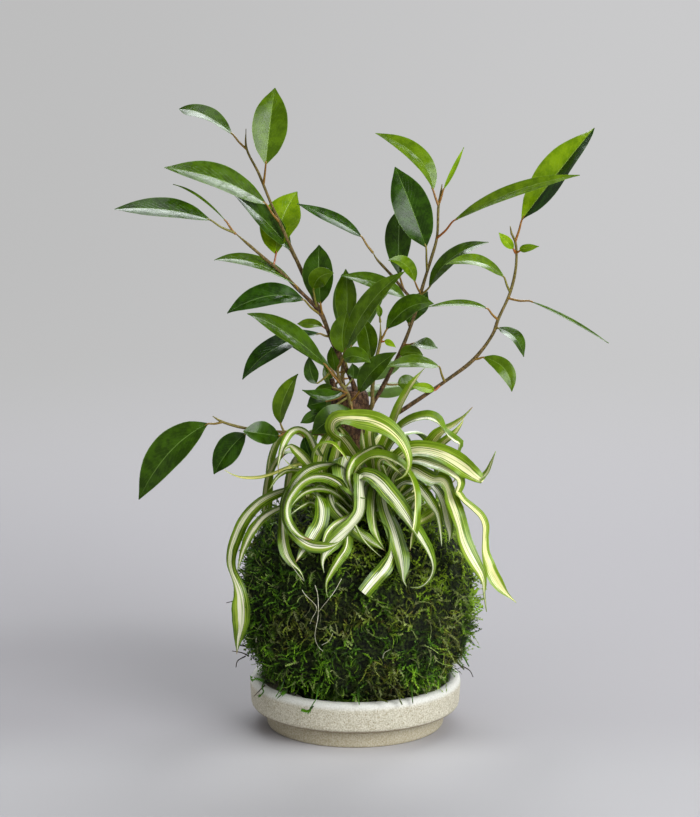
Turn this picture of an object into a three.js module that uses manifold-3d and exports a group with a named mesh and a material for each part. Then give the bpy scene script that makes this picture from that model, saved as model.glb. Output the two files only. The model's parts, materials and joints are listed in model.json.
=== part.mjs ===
// A kokedama: a moss ball in a saucer, planted with a small-leaved fig and a curly spider plant.
// Millimetres, +Z up, front towards -Y, origin at the centre of the saucer's flat underside.
import * as THREE from 'three';
import { mergeVertices } from 'three/addons/utils/BufferGeometryUtils.js';
import Module from 'manifold-3d';

const wasm = await Module();
wasm.setup();

// Driving dimensions
const GAP = 0.3;

const SAUCER_RADIUS = 65;
const SAUCER_HEIGHT = 30.5;
const SAUCER_FLOOR = 8;
const LIP_WIDTH = 8;
const FOOT_RADIUS = 54.5;
const FOOT_HEIGHT = 10.5;
const SAUCER_STEPS = 44;

const BALL_X = 2;
const BALL_Z = 75.3;
const MOSS_RADIUS = 72.5;
const MOSS_HALF_HEIGHT = 67;
const SOIL_RADIUS = 61.5;
const SOIL_HALF_HEIGHT = 56;
const SOIL_TOP = 130;
const OPENING_RADIUS = 43;
const UPPER_POWER = 2.7;
const LOWER_POWER = 1.95;
const REST_RADIUS = 10;
const BALL_STEPS = 32;

const NEEDLE_COUNT = 70;
const NEEDLE_WIDTH = 2.4;
const NEEDLE_ROOT = 2;
const NEEDLE_ROOM = 9;
const NEEDLE_LOWEST = 40;

const THREAD_RADIUS = 0.45;
const THREAD_OFFSET = 0.8;

const TRUNK_X = -3;
const TRUNK_HOLE_RADIUS = 14;
const TRUNK_HOLE_FLOOR = 100;
const TRUNK_STEPS = 14;

const BLADE_THICKNESS = 0.8;
const TIP_HALF = 0.45;
const TWIG_SIDES = 6;
const THREAD_SIDES = 4;
const SOCKET_CLEARANCE = 0.35;

const STRAP_STEP = 15;
const STRAP_BEND = 0.8;
const STRAP_TURN = 0.45;
const STRAP_SAMPLE = 2.5;
const STRAP_TWIST = 0.16;
const ROOT_HEIGHT = 138;
const ROOT_HIGHEST = 143;
const ROOT_DROP = 14;
const CROWN_BASE = 124.3;
const CROWN_TOP = 151;

const BACK_STRAPS = 12;
const SEED = 7;

// The plants are laid out as they look from the front. A place is [across, up, near]: across and up
// lie in the plane through the origin that faces the eye, and near is how far it stands forward.
const EYE = new THREE.Vector3(-3.3, -1441.2, 458.6);
const LOOK_DOWN = THREE.MathUtils.degToRad(10.3);

function seen([across, up, near]) {
  const onPlane = new THREE.Vector3(across, up * Math.sin(LOOK_DOWN), up * Math.cos(LOOK_DOWN));
  const share = (-near - EYE.y) / (onPlane.y - EYE.y);
  return EYE.clone().lerp(onPlane, share);
}

// A repeatable series of random numbers from 0 to 1.
function seeded(seed) {
  let state = seed;
  return () => {
    state = (state * 16807) % 2147483647;
    return state / 2147483647;
  };
}

// Closed bodies

function bodyOf(points, triangles) {
  const geometry = new THREE.BufferGeometry();
  geometry.setAttribute('position', new THREE.Float32BufferAttribute(points.flatMap((p) => p.toArray()), 3));
  geometry.setIndex(triangles);
  return geometry;
}

function signedVolume(positions, index) {
  const a = new THREE.Vector3();
  const b = new THREE.Vector3();
  const c = new THREE.Vector3();
  let total = 0;
  for (let i = 0; i < index.length; i += 3) {
    a.fromArray(positions, index[i] * 3);
    b.fromArray(positions, index[i + 1] * 3);
    c.fromArray(positions, index[i + 2] * 3);
    total += a.dot(b.cross(c)) / 6;
  }
  return total;
}

// Shares the corners of a geometry, drops triangles without area and turns its faces outwards.
function toSolid(geometry) {
  const bare = geometry.clone();
  bare.deleteAttribute('normal');
  bare.deleteAttribute('uv');
  const merged = mergeVertices(bare, 1e-4);
  const positions = merged.attributes.position.array;
  let index = [];
  for (let i = 0; i < merged.index.count; i += 3) {
    const [a, b, c] = [0, 1, 2].map((k) => merged.index.getX(i + k));
    if (a !== b && b !== c && c !== a) index.push(a, b, c);
  }
  if (signedVolume(positions, index) < 0) index = index.reverse();
  const mesh = new wasm.Mesh({
    numProp: 3,
    vertProperties: new Float32Array(positions),
    triVerts: Uint32Array.from(index),
  });
  return new wasm.Manifold(mesh);
}

function joined(geometries) {
  return geometries.map(toSolid).reduce((whole, piece) => whole.add(piece));
}

// Keeps the largest shell of a solid: hollows that fusing sealed are filled, loose scraps dropped.
function toGeometry(solid) {
  const { vertProperties, triVerts } = solid.getMesh();
  const count = triVerts.length / 3;
  const triangles = Array.from({ length: count }, (_, i) => [...triVerts.slice(i * 3, i * 3 + 3)]);
  const parent = triangles.map((_, i) => i);
  const shellOf = (i) => {
    let top = i;
    while (parent[top] !== top) top = parent[top];
    parent[i] = top;
    return top;
  };
  const firstAt = new Map();
  triangles.forEach((corners, i) => corners.forEach((corner, k) => {
    const edge = [corner, corners[(k + 1) % 3]].sort((one, other) => one - other).join(' ');
    if (firstAt.has(edge)) parent[shellOf(i)] = shellOf(firstAt.get(edge));
    else firstAt.set(edge, i);
  }));
  const shells = Map.groupBy(triangles, (_, i) => shellOf(i));
  const sized = [...shells.values()].map((shell) => {
    const index = shell.flat();
    return { index, volume: signedVolume(vertProperties, index) };
  });
  sized.sort((one, other) => other.volume - one.volume);
  const geometry = new THREE.BufferGeometry();
  geometry.setAttribute('position', new THREE.BufferAttribute(new Float32Array(vertProperties), 3));
  geometry.setIndex(sized[0].index);
  return mergeVertices(geometry, 1e-5);
}

// Skins rings of an even number of points, anticlockwise as seen from the last ring. The quads from
// side otherWay on are split the other way, so that both faces of a thin blade have like triangles.
function loft(rings, otherWay = Infinity) {
  const count = rings[0].length;
  const triangles = [];
  for (let i = 0; i < rings.length - 1; i += 1) {
    for (let j = 0; j < count; j += 1) {
      const a = i * count + j;
      const b = i * count + (j + 1) % count;
      const c = b + count;
      const d = a + count;
      if (j < otherWay) triangles.push(a, b, c, a, c, d);
      else triangles.push(a, b, d, b, c, d);
    }
  }
  const end = (rings.length - 1) * count;
  for (let k = 0; k < count / 2 - 1; k += 1) {
    const [a, b, c, d] = [k, k + 1, count - 2 - k, count - 1 - k];
    triangles.push(a, c, b, a, d, c);
    triangles.push(end + a, end + b, end + c, end + a, end + c, end + d);
  }
  return bodyOf(rings.flat(), triangles);
}

// A lathe body round the vertical line x = centre: its outline is [radius, z] from axis to axis.
function turned(outline, steps, centre = 0) {
  const geometry = new THREE.LatheGeometry(outline.map(([r, z]) => new THREE.Vector2(r, z)), steps);
  geometry.rotateX(Math.PI / 2);
  geometry.translate(centre, 0, 0);
  return geometry;
}

// A tapered twig through its points, with the radii at its two ends.
function twig(points, [startRadius, endRadius], sides = TWIG_SIDES) {
  const last = points.length - 1;
  const along = (i) => points[Math.min(i + 1, last)].clone().sub(points[Math.max(i - 1, 0)]).normalize();
  let side = new THREE.Vector3(0, -1, 0).cross(along(0)).normalize();
  const rings = points.map((point, i) => {
    const forward = along(i);
    side = side.addScaledVector(forward, -side.dot(forward)).normalize();
    const other = forward.clone().cross(side);
    const radius = THREE.MathUtils.lerp(startRadius, endRadius, i / last);
    return Array.from({ length: sides }, (_, j) => {
      const angle = (2 * Math.PI * j) / sides;
      const spoke = side.clone().multiplyScalar(Math.cos(angle)).addScaledVector(other, Math.sin(angle));
      return point.clone().addScaledVector(spoke, radius);
    });
  });
  return loft(rings);
}

// Thin blades

// Side and face directions of a blade that runs along forward, as the eye sees it, rolled about it.
function bladeFrame(place, forward, roll) {
  const toEye = EYE.clone().sub(place).normalize();
  const side = forward.clone().cross(toEye).normalize();
  const face = side.clone().cross(forward);
  return {
    side: side.clone().multiplyScalar(Math.cos(roll)).addScaledVector(face, Math.sin(roll)),
    face: face.clone().multiplyScalar(Math.cos(roll)).addScaledVector(side, -Math.sin(roll)),
  };
}

// A closed blade through its stations.
function blade(stations) {
  const rings = stations.map(({ place, side, face, half }) => {
    const top = [-half, half].map((out) => place.clone().addScaledVector(side, out));
    const bottom = top.map((point) => point.clone().addScaledVector(face, -BLADE_THICKNESS)).reverse();
    return [...top, ...bottom];
  });
  return loft(rings, 2);
}

// The same blade in short lengths end to end, so that joining them clears up its sharp bends.
function bladeLengths(stations) {
  return stations.slice(1).map((station, i) => blade([stations[i], station]));
}

// Fig leaves

const LARGE_OUTLINE = [[0, 0.1], [0.2, 0.74], [0.45, 1], [0.76, 0.66], [1, 0.05]];
const SMALL_OUTLINE = [[0, 0.16], [0.35, 0.95], [0.7, 0.72], [1, 0.08]];
const SMALL_LEAF = 9;
const STALK_HALF = 0.8;

// A leaf is [foot, base, middle, tip, width, roll in degrees]; the stalk runs from foot to base.
function figLeaf([foot, base, middle, tip, width, rollDegrees]) {
  const [start, through, end] = [base, middle, tip].map(seen);
  const bow = through.clone().multiplyScalar(2).sub(start.clone().add(end).multiplyScalar(0.5));
  const midrib = new THREE.QuadraticBezierCurve3(start, bow, end);
  const roll = THREE.MathUtils.degToRad(rollDegrees);
  const outline = width < SMALL_LEAF ? SMALL_OUTLINE : LARGE_OUTLINE;
  const stations = outline.map(([along, wide]) => {
    const place = midrib.getPoint(along);
    const half = Math.max((wide * width) / 2, TIP_HALF);
    return { place, half, ...bladeFrame(place, midrib.getTangent(along), roll) };
  });
  const stalkFoot = seen(foot);
  const stalkWay = start.clone().sub(stalkFoot).normalize();
  const stalk = { place: stalkFoot, half: STALK_HALF, ...bladeFrame(stalkFoot, stalkWay, roll) };
  return blade([stalk, ...stations]);
}

// Each leafy stem has its twigs, the first of them rooted in the trunk, and its leaves.
const TALL_LEFT_STEM = {
  twigs: [
    { radii: [2, 0.7], path: [[1, 198, 3], [-1, 208, 6], [-9, 225, 6], [-15, 237, 5], [-20, 250, 4],
      [-27, 264.5, 2], [-33, 278, 0], [-40, 293.5, -3], [-47, 309, -6], [-52, 320, -8],
      [-60, 339.5, -12], [-67.5, 355, -15], [-67.8, 367, -16]] },
    { radii: [1.3, 0.8], path: [[-21, 251.5, 4], [-26, 258, 6], [-35, 267, 10], [-45, 277, 14],
      [-55, 285.5, 18], [-66, 295, 22], [-76.5, 304, 25.5]] },
  ],
  leaves: [
    [[-67, 354, -15], [-76, 363.5, -16], [-94, 376, -25], [-109.5, 379, -36], 20, -45],
    [[-57, 332, -11], [-55.5, 345, -8], [-53, 369, -4], [-49.8, 392.3, -10], 22, 8],
    [[-47, 309, -6], [-55.5, 320.5, -2], [-84, 337, 12], [-118.5, 343, 20], 24, -55],
    [[-35, 283, -1], [-40, 291, 3], [-56, 310, 10], [-75, 326, 18], 22, -50],
    [[-51, 282, 16], [-49.2, 289.5, 8], [-46, 309, -14], [-37, 328, -22], 20, 20],
    [[-75, 302.5, 25], [-90, 310.5, 27], [-119, 318.5, 30], [-149.5, 317, 26], 23, -62],
    [[-74, 301.5, 24.5], [-80, 309.5, 24], [-97, 325, 20], [-113, 332.5, 14], 5, -30],
    [[-34, 266, 9.5], [-37, 270, 12], [-63, 286, 18], [-87.5, 285.5, 14], 18, -65],
    [[-20.5, 251, 4], [-21.5, 258.5, 8], [-22.5, 277, 10], [-22.5, 295, 4], 20, 20],
    [[-24, 256, 5], [-25, 266, 14], [-20, 276.5, 20], [-13.5, 277.5, 24], 9, 20],
    [[-22, 252, 4.5], [-32, 261, 12], [-55, 264.5, 22], [-79.5, 252.5, 28], 20, -45],
    [[-15.5, 238, 5], [-22, 240, 7], [-50, 231, 14], [-70, 211.5, 18], 20, -35],
    [[-17.5, 243, 5], [-20, 244.5, 0], [-28, 246, -6], [-36, 246, -12], 7, -30],
    [[-9.5, 226, 6], [-6, 242, 1], [-5, 262, -2], [-6, 280, -4], 15, 0],
    [[-4, 214, 6], [-7, 228, 8], [-8, 240, 10], [-5, 254, 10], 15, 10],
  ],
};

const LOW_LEFT_STEM = {
  twigs: [
    { radii: [1.3, 0.7], path: [[-8, 176.5, 3], [-30, 178.5, 14], [-44, 178.8, 16], [-68, 181.3, 20],
      [-83, 185.5, 22], [-88.5, 188.8, 22]] },
  ],
  leaves: [
    [[-44, 178.8, 16], [-46.3, 184, 13], [-44.5, 199, 14], [-35.5, 215, 10], 15, 35],
    [[-82, 185.2, 22], [-91.5, 184, 23], [-115.5, 166, 28], [-134.3, 137, 28], 24, -30],
    [[-66, 181, 19.7], [-68, 178, 21], [-78.5, 167.5, 24], [-87.7, 152.7, 24], 17, -25],
    [[-44, 178.8, 16], [-47, 176.5, 18], [-58, 178, 26], [-69.5, 179.5, 31], 15, -20],
  ],
};

const FRONT_STEM = {
  twigs: [
    { radii: [1.5, 0.7], path: [[-4, 189, 6], [-3, 197, 15.5], [-5, 203, 13], [-9, 209.5, 14],
      [-15, 217, 15]] },
    { radii: [1, 0.7], path: [[-9, 209, 14], [-11, 217, 16], [-9.5, 222, 17], [-8.7, 226.5, 18]] },
  ],
  leaves: [
    [[-9, 209, 14], [-18, 220, 18], [-42, 240, 30], [-67, 252.3, 38], 21, -40],
    [[-15, 216.5, 15], [-24, 209, 15], [-27.5, 216, 16], [-28.5, 226, 17.5], 9, 0],
    [[-5, 203, 13], [-18, 198, 15], [-24, 196.5, 16], [-30, 195, 16], 13, -10],
    [[-6, 204.5, 13], [-14, 206.5, 10], [-19, 206, 8], [-26, 204, 7], 6, 0],
    [[-5, 203, 13], [-8, 204.5, 18], [-18, 201, 22], [-33, 205, 25], 11, -50],
    [[-4, 201, 13.5], [-20, 192.5, 18], [-27, 188.5, 19], [-34, 184.5, 20], 7, -10],
    [[-3, 198, 15], [-2, 192.5, 17], [-15, 187, 24], [-27, 177.5, 25], 16, -20],
    [[-9.5, 222, 17], [-6.5, 229, 20], [8, 257, 32], [30.5, 278.5, 38], 20, 40],
    [[-10.6, 219, 16.3], [-7.6, 224, 22], [0, 226, 27], [9.5, 222, 30], 12, 30],
    [[-7, 206, 13.5], [-2, 212, 11], [-1, 216, 10.5], [-2, 221.5, 10], 8, 0],
    [[-3, 198, 15], [2, 203.5, 21], [11, 217, 30], [25.5, 228.3, 36], 14, 30],
  ],
};

const MIDDLE_STEM = {
  twigs: [
    { radii: [1.4, 0.9], path: [[1, 186, 7], [10, 194, 12], [10.5, 205, 14], [11.5, 213, 15],
      [13, 224, 15], [15.5, 236, 14.5], [15.5, 248, 15.5]] },
  ],
  leaves: [
    [[15.5, 235.5, 14.5], [19.3, 242.4, 17], [33, 256, 22], [48.6, 258.5, 26], 15, 30],
    [[12.7, 222, 15], [9.5, 224, 15.5], [8, 237, 15], [4, 251, 13], 14, -10],
    [[15.5, 247, 15.5], [15.2, 250, 16], [14.9, 254, 16.3], [14.4, 258, 16.5], 4, 0],
    [[15.3, 235, 14.5], [18, 235.3, 16], [21, 234.3, 18], [25, 231.5, 21], 4, 0],
  ],
};

const TALL_RIGHT_STEM = {
  twigs: [
    { radii: [1.7, 0.7], path: [[1, 182, 1], [9.5, 194.5, 3], [17, 207, 2], [22.1, 217, 0], [28.4, 229.6, -3],
      [36.3, 250.2, -7], [42.5, 271.8, -10], [46.8, 285.7, -12], [50.6, 299.6, -13],
      [51.6, 319.3, -16], [53, 327, -17], [53.8, 332.7, -17]] },
    { radii: [1.1, 0.7], path: [[38, 255, -8], [35, 261, -6], [30, 267, -6], [23, 275.5, -6],
      [17, 282, -6], [13, 286.5, -6], [10, 292, -6]] },
  ],
  leaves: [
    [[11, 290, -6], [4, 300, -4], [-12, 310, 0], [-36, 320.5, 6], 14, -70],
    [[30, 267, -6], [27.5, 276, -9], [27, 300, -16], [28.5, 318, -18], 17, -10],
    [[44.5, 279, -11], [43.8, 293.7, -4], [35, 318, 2], [24.6, 343.3, -2], 20, 10],
    [[51.6, 319.3, -16], [48.2, 328.9, -16], [38, 350, -20], [12.5, 364.2, -30], 20, -55],
    [[52, 321, -16.3], [54.5, 329, -15], [60.7, 341.2, -14], [67.3, 355.5, -13], 3, 0],
    [[50.4, 299, -13], [60.7, 309.7, -4], [98, 328, 18], [139.2, 338.2, 30], 19, 68],
    [[40.3, 264, -9], [45.8, 268.6, -4], [60, 287, 4], [82.6, 296.7, 8], 18, 40],
    [[40.5, 265, -9], [37, 272, 0], [31.5, 282.5, 7], [20.5, 285.5, 12], 12, -20],
    [[34, 243.5, -6], [33, 246, -12], [38, 256, -18], [45, 266, -22], 15, 20],
    [[37, 257.5, -7.3], [31, 262, -2], [14, 271, 4], [-9, 276, 4], 16, -50],
    [[30, 233, -4], [36, 234, 4], [42, 233, 10], [51, 231, 15], 12, 55],
    [[24.5, 221.5, -1], [28, 226, 5], [34, 228.5, 8], [42, 226.5, 9], 9, 0],
    [[18, 209, 2], [26, 208.5, -2], [32, 209, -5], [40, 209, -8], 11, 20],
  ],
};

const OUTER_RIGHT_STEM = {
  twigs: [
    { radii: [1.7, 0.8], path: [[1, 173.5, -2], [18, 185, 3.5], [29.2, 192.5, 8], [56.1, 210.7, 10],
      [73.5, 224.1, 8], [85.4, 240, 5], [88.5, 248.7, 3], [96, 265.5, 0], [99.7, 282.5, 1],
      [99.1, 297.4, 2], [97, 301.5, 3], [96, 306.8, 4]] },
  ],
  leaves: [
    [[99.1, 297, 2], [103.4, 310.7, 4], [125, 339, 6], [148.2, 367.6, 4], 26, -15],
    [[99.3, 290, 1.5], [98, 292.5, 3], [94, 297, 6], [89, 302.5, 8], 6, 0],
    [[99.3, 290, 1.5], [102, 291.3, 4], [106, 293, 8], [113.8, 294, 12], 5, 0],
    [[96, 265.5, 0], [92.2, 275, 5], [76, 284.5, 20], [56, 283, 28], 16, -68],
    [[88.5, 248.5, 3], [82, 255.5, 8], [66, 258.5, 16], [45, 256.5, 24], 14, -70],
    [[94.5, 262, 0.5], [108.3, 260.2, 6], [132, 249, 12], [157.2, 234, 16], 14, 80],
    [[86.5, 243, 4.5], [88.5, 243.5, 6], [99, 237.5, 14], [104.5, 225.5, 18], 15, 45],
    [[73.5, 224, 8], [79.1, 225.3, 10], [91, 217.5, 16], [95.6, 204, 18], 14, 45],
    [[55.3, 210.2, 10], [52, 219.5, 14], [37, 222, 20], [19, 219.5, 25], 14, -60],
    [[53, 208.5, 10], [49, 204.5, 12], [43, 206.5, 14], [34, 207.5, 15], 6, 0],
  ],
};

const BACK_STEM = {
  twigs: [
    { radii: [1.7, 0.8], path: [[-4, 187, -3], [-6, 200, -18], [-8, 215, -25], [-5, 235, -31],
      [2, 256, -36]] },
  ],
  leaves: [
    [[-7, 205, -20], [-14, 214, -22], [-38, 232, -32], [-60, 246, -40], 15, 150],
    [[-6, 226, -28.5], [-2, 232, -31], [12, 252, -42], [24, 270, -48], 16, 215],
    [[-7.5, 212, -24], [-3, 213, -29], [14, 218, -42], [30, 222, -52], 14, 210],
    [[-5, 235, -31], [-8, 241, -33], [-16, 262, -40], [-20, 284, -44], 16, 170],
    [[1, 253, -35.3], [6, 259, -39], [22, 271, -46], [27, 294, -54], 14, 190],
    [[-6.3, 203, -19], [3, 202, -27], [20, 206, -40], [34, 207, -50], 14, 225],
    [[-8, 215, -25], [-12, 209, -34], [-18, 197, -52], [-22, 186, -64], 15, 160],
    [[2, 256, -36], [-1, 262, -38], [-8, 272, -48], [-14, 276, -62], 14, 150],
  ],
};

function twigBodies({ twigs }) {
  return twigs.map(({ radii, path }) => twig(path.map(seen), radii));
}

function leafyStem(stem) {
  return toGeometry(joined([...twigBodies(stem), ...stem.leaves.map(figLeaf)]));
}

// The straight hole in the trunk that a stem's first stretch stands in.
function socketOf({ twigs }) {
  const [start, exit] = twigs[0].path.slice(0, 2).map(seen);
  const way = exit.clone().sub(start).normalize();
  const radius = twigs[0].radii[0] + SOCKET_CLEARANCE;
  return twig([start.addScaledVector(way, -SOCKET_CLEARANCE), exit], [radius, radius]);
}

// Spider plant straps

// How wide a strap is along its length, as a share of its full width.
function strapShare(along) {
  const rise = THREE.MathUtils.smoothstep(along, -0.2, 0.35);
  const fall = 1 - THREE.MathUtils.smoothstep(along, 0.6, 1.12);
  return Math.min(rise, fall);
}

const RIM_CLEARANCE = 4;
const LEAST_CLEARANCE = 3.5;
const MOST_CLEARANCE = 6;
const MOST_ROLL = 1.3;
const BEND_SHARE = 0.55;
const BEND_FLARE = 0.45;
const LEAST_HALF = 0.6;

function insideMoss(place, margin) {
  const radius = Math.hypot(place.x - BALL_X, place.y);
  const height = place.z - BALL_Z;
  const power = height > 0 ? UPPER_POWER : LOWER_POWER;
  const outward = (radius / (MOSS_RADIUS + margin)) ** power;
  const upward = (Math.abs(height) / (MOSS_HALF_HEIGHT + margin)) ** power;
  return radius > OPENING_RADIUS - RIM_CLEARANCE && outward + upward < 1;
}

function clearOfMoss(place, margin, way) {
  const clear = place.clone();
  while (insideMoss(clear, margin)) clear.add(way);
  return clear;
}

// Narrows the blade where it bends within its own plane, and next to there, so that its edges
// don't cross.
function narrowBends(stations) {
  for (let i = 1; i < stations.length - 1; i += 1) {
    const before = stations[i - 1];
    const after = stations[i + 1];
    const length = before.place.distanceTo(after.place);
    const bend = Math.abs(after.forward.clone().sub(before.forward).dot(stations[i].side)) / length;
    stations[i].half = Math.min(stations[i].half, Math.max(BEND_SHARE / Math.max(bend, 1e-6), LEAST_HALF));
  }
  for (const row of [stations, [...stations].reverse()]) {
    for (let i = 1; i < row.length; i += 1) {
      const length = row[i].place.distanceTo(row[i - 1].place);
      row[i].half = Math.min(row[i].half, row[i - 1].half + BEND_FLARE * length);
    }
  }
}

// Of closely spaced stations, those where the strap has run on or turned enough, and the last.
function sparse(stations) {
  const kept = [stations[0]];
  for (let i = 1; i < stations.length - 1; i += 1) {
    const { place, forward, side } = kept[kept.length - 1];
    const next = stations[i + 1];
    const runsOn = place.distanceTo(next.place) > STRAP_STEP;
    const bends = forward.angleTo(next.forward) > STRAP_BEND;
    const turns = side.angleTo(next.side) > STRAP_TURN;
    if (runsOn || bends || turns) kept.push(stations[i]);
  }
  return [...kept, stations[stations.length - 1]];
}

// Turns each side little by little along the strap, from the way that the one before it lies.
function easeTwist(stations) {
  for (let i = 1; i < stations.length; i += 1) {
    const { forward, side } = stations[i];
    const carried = stations[i - 1].side.clone();
    carried.addScaledVector(forward, -carried.dot(forward)).normalize();
    const target = carried.dot(side) < 0 ? side.clone().negate() : side;
    const angle = Math.atan2(carried.clone().cross(target).dot(forward), carried.dot(target));
    const eased = THREE.MathUtils.clamp(angle, -STRAP_TWIST, STRAP_TWIST);
    stations[i].side = carried.applyAxisAngle(forward, eased);
    stations[i].face = stations[i].side.clone().cross(forward);
  }
}

// Crowns: low domed lumps at the soil's top, which the straps grow out of.
const FRONT_CROWN = { x: 6.5, y: -25.5, wide: 26, deep: 11 };
const BACK_CROWN = { x: -4, y: 30, wide: 20, deep: 9 };
const CROWN_STEPS = 20;
const ROOT_REACH = 0.8;
const ROOT_NARROWING = 0.5;

// The place in the front crown nearest to straight below a strap's first point.
function rootBelow({ x, y, z }) {
  const away = [(x - FRONT_CROWN.x) / FRONT_CROWN.wide, (y - FRONT_CROWN.y) / FRONT_CROWN.deep];
  const share = Math.min(1, ROOT_REACH / Math.hypot(...away));
  const rootX = FRONT_CROWN.x + away[0] * share * FRONT_CROWN.wide;
  const rootY = FRONT_CROWN.y + away[1] * share * FRONT_CROWN.deep;
  return new THREE.Vector3(rootX, rootY, THREE.MathUtils.clamp(z - ROOT_DROP, ROOT_HEIGHT, ROOT_HIGHEST));
}

// A strap is its full width and its path from the crown: rows of [across, up, near, width as seen].
// A piece with a span covers that stretch of a longer strap.
function strapStations({ width, span = [0, 1], path }) {
  const places = path.map(seen);
  const widths = path.map((row) => row[3]);
  if (span[0] === 0) {
    places.unshift(rootBelow(places[0]));
    widths.unshift(widths[0] * ROOT_NARROWING);
  }
  const curve = new THREE.CatmullRomCurve3(places, false, 'centripetal');
  const steps = Math.round(curve.getLength() / STRAP_SAMPLE);
  const stations = Array.from({ length: steps + 1 }, (_, i) => {
    const t = curve.getUtoTmapping(i / steps);
    const forward = curve.getTangent(t);
    const row = Math.min(Math.floor(t * (widths.length - 1)), widths.length - 2);
    const wide = THREE.MathUtils.lerp(widths[row], widths[row + 1], t * (widths.length - 1) - row);
    const share = strapShare(THREE.MathUtils.lerp(span[0], span[1], i / steps));
    const full = Math.max(wide, width * share);
    const roll = Math.min(Math.acos(wide / full), MOST_ROLL);
    const margin = Math.min(LEAST_CLEARANCE + (Math.sin(roll) * full) / 2, MOST_CLEARANCE);
    const onCurve = curve.getPoint(t);
    const place = clearOfMoss(onCurve, margin, EYE.clone().sub(onCurve).normalize());
    return { place, forward, half: Math.max(full / 2, TIP_HALF), ...bladeFrame(place, forward, roll) };
  });
  easeTwist(stations);
  narrowBends(stations);
  return sparse(stations);
}

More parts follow.
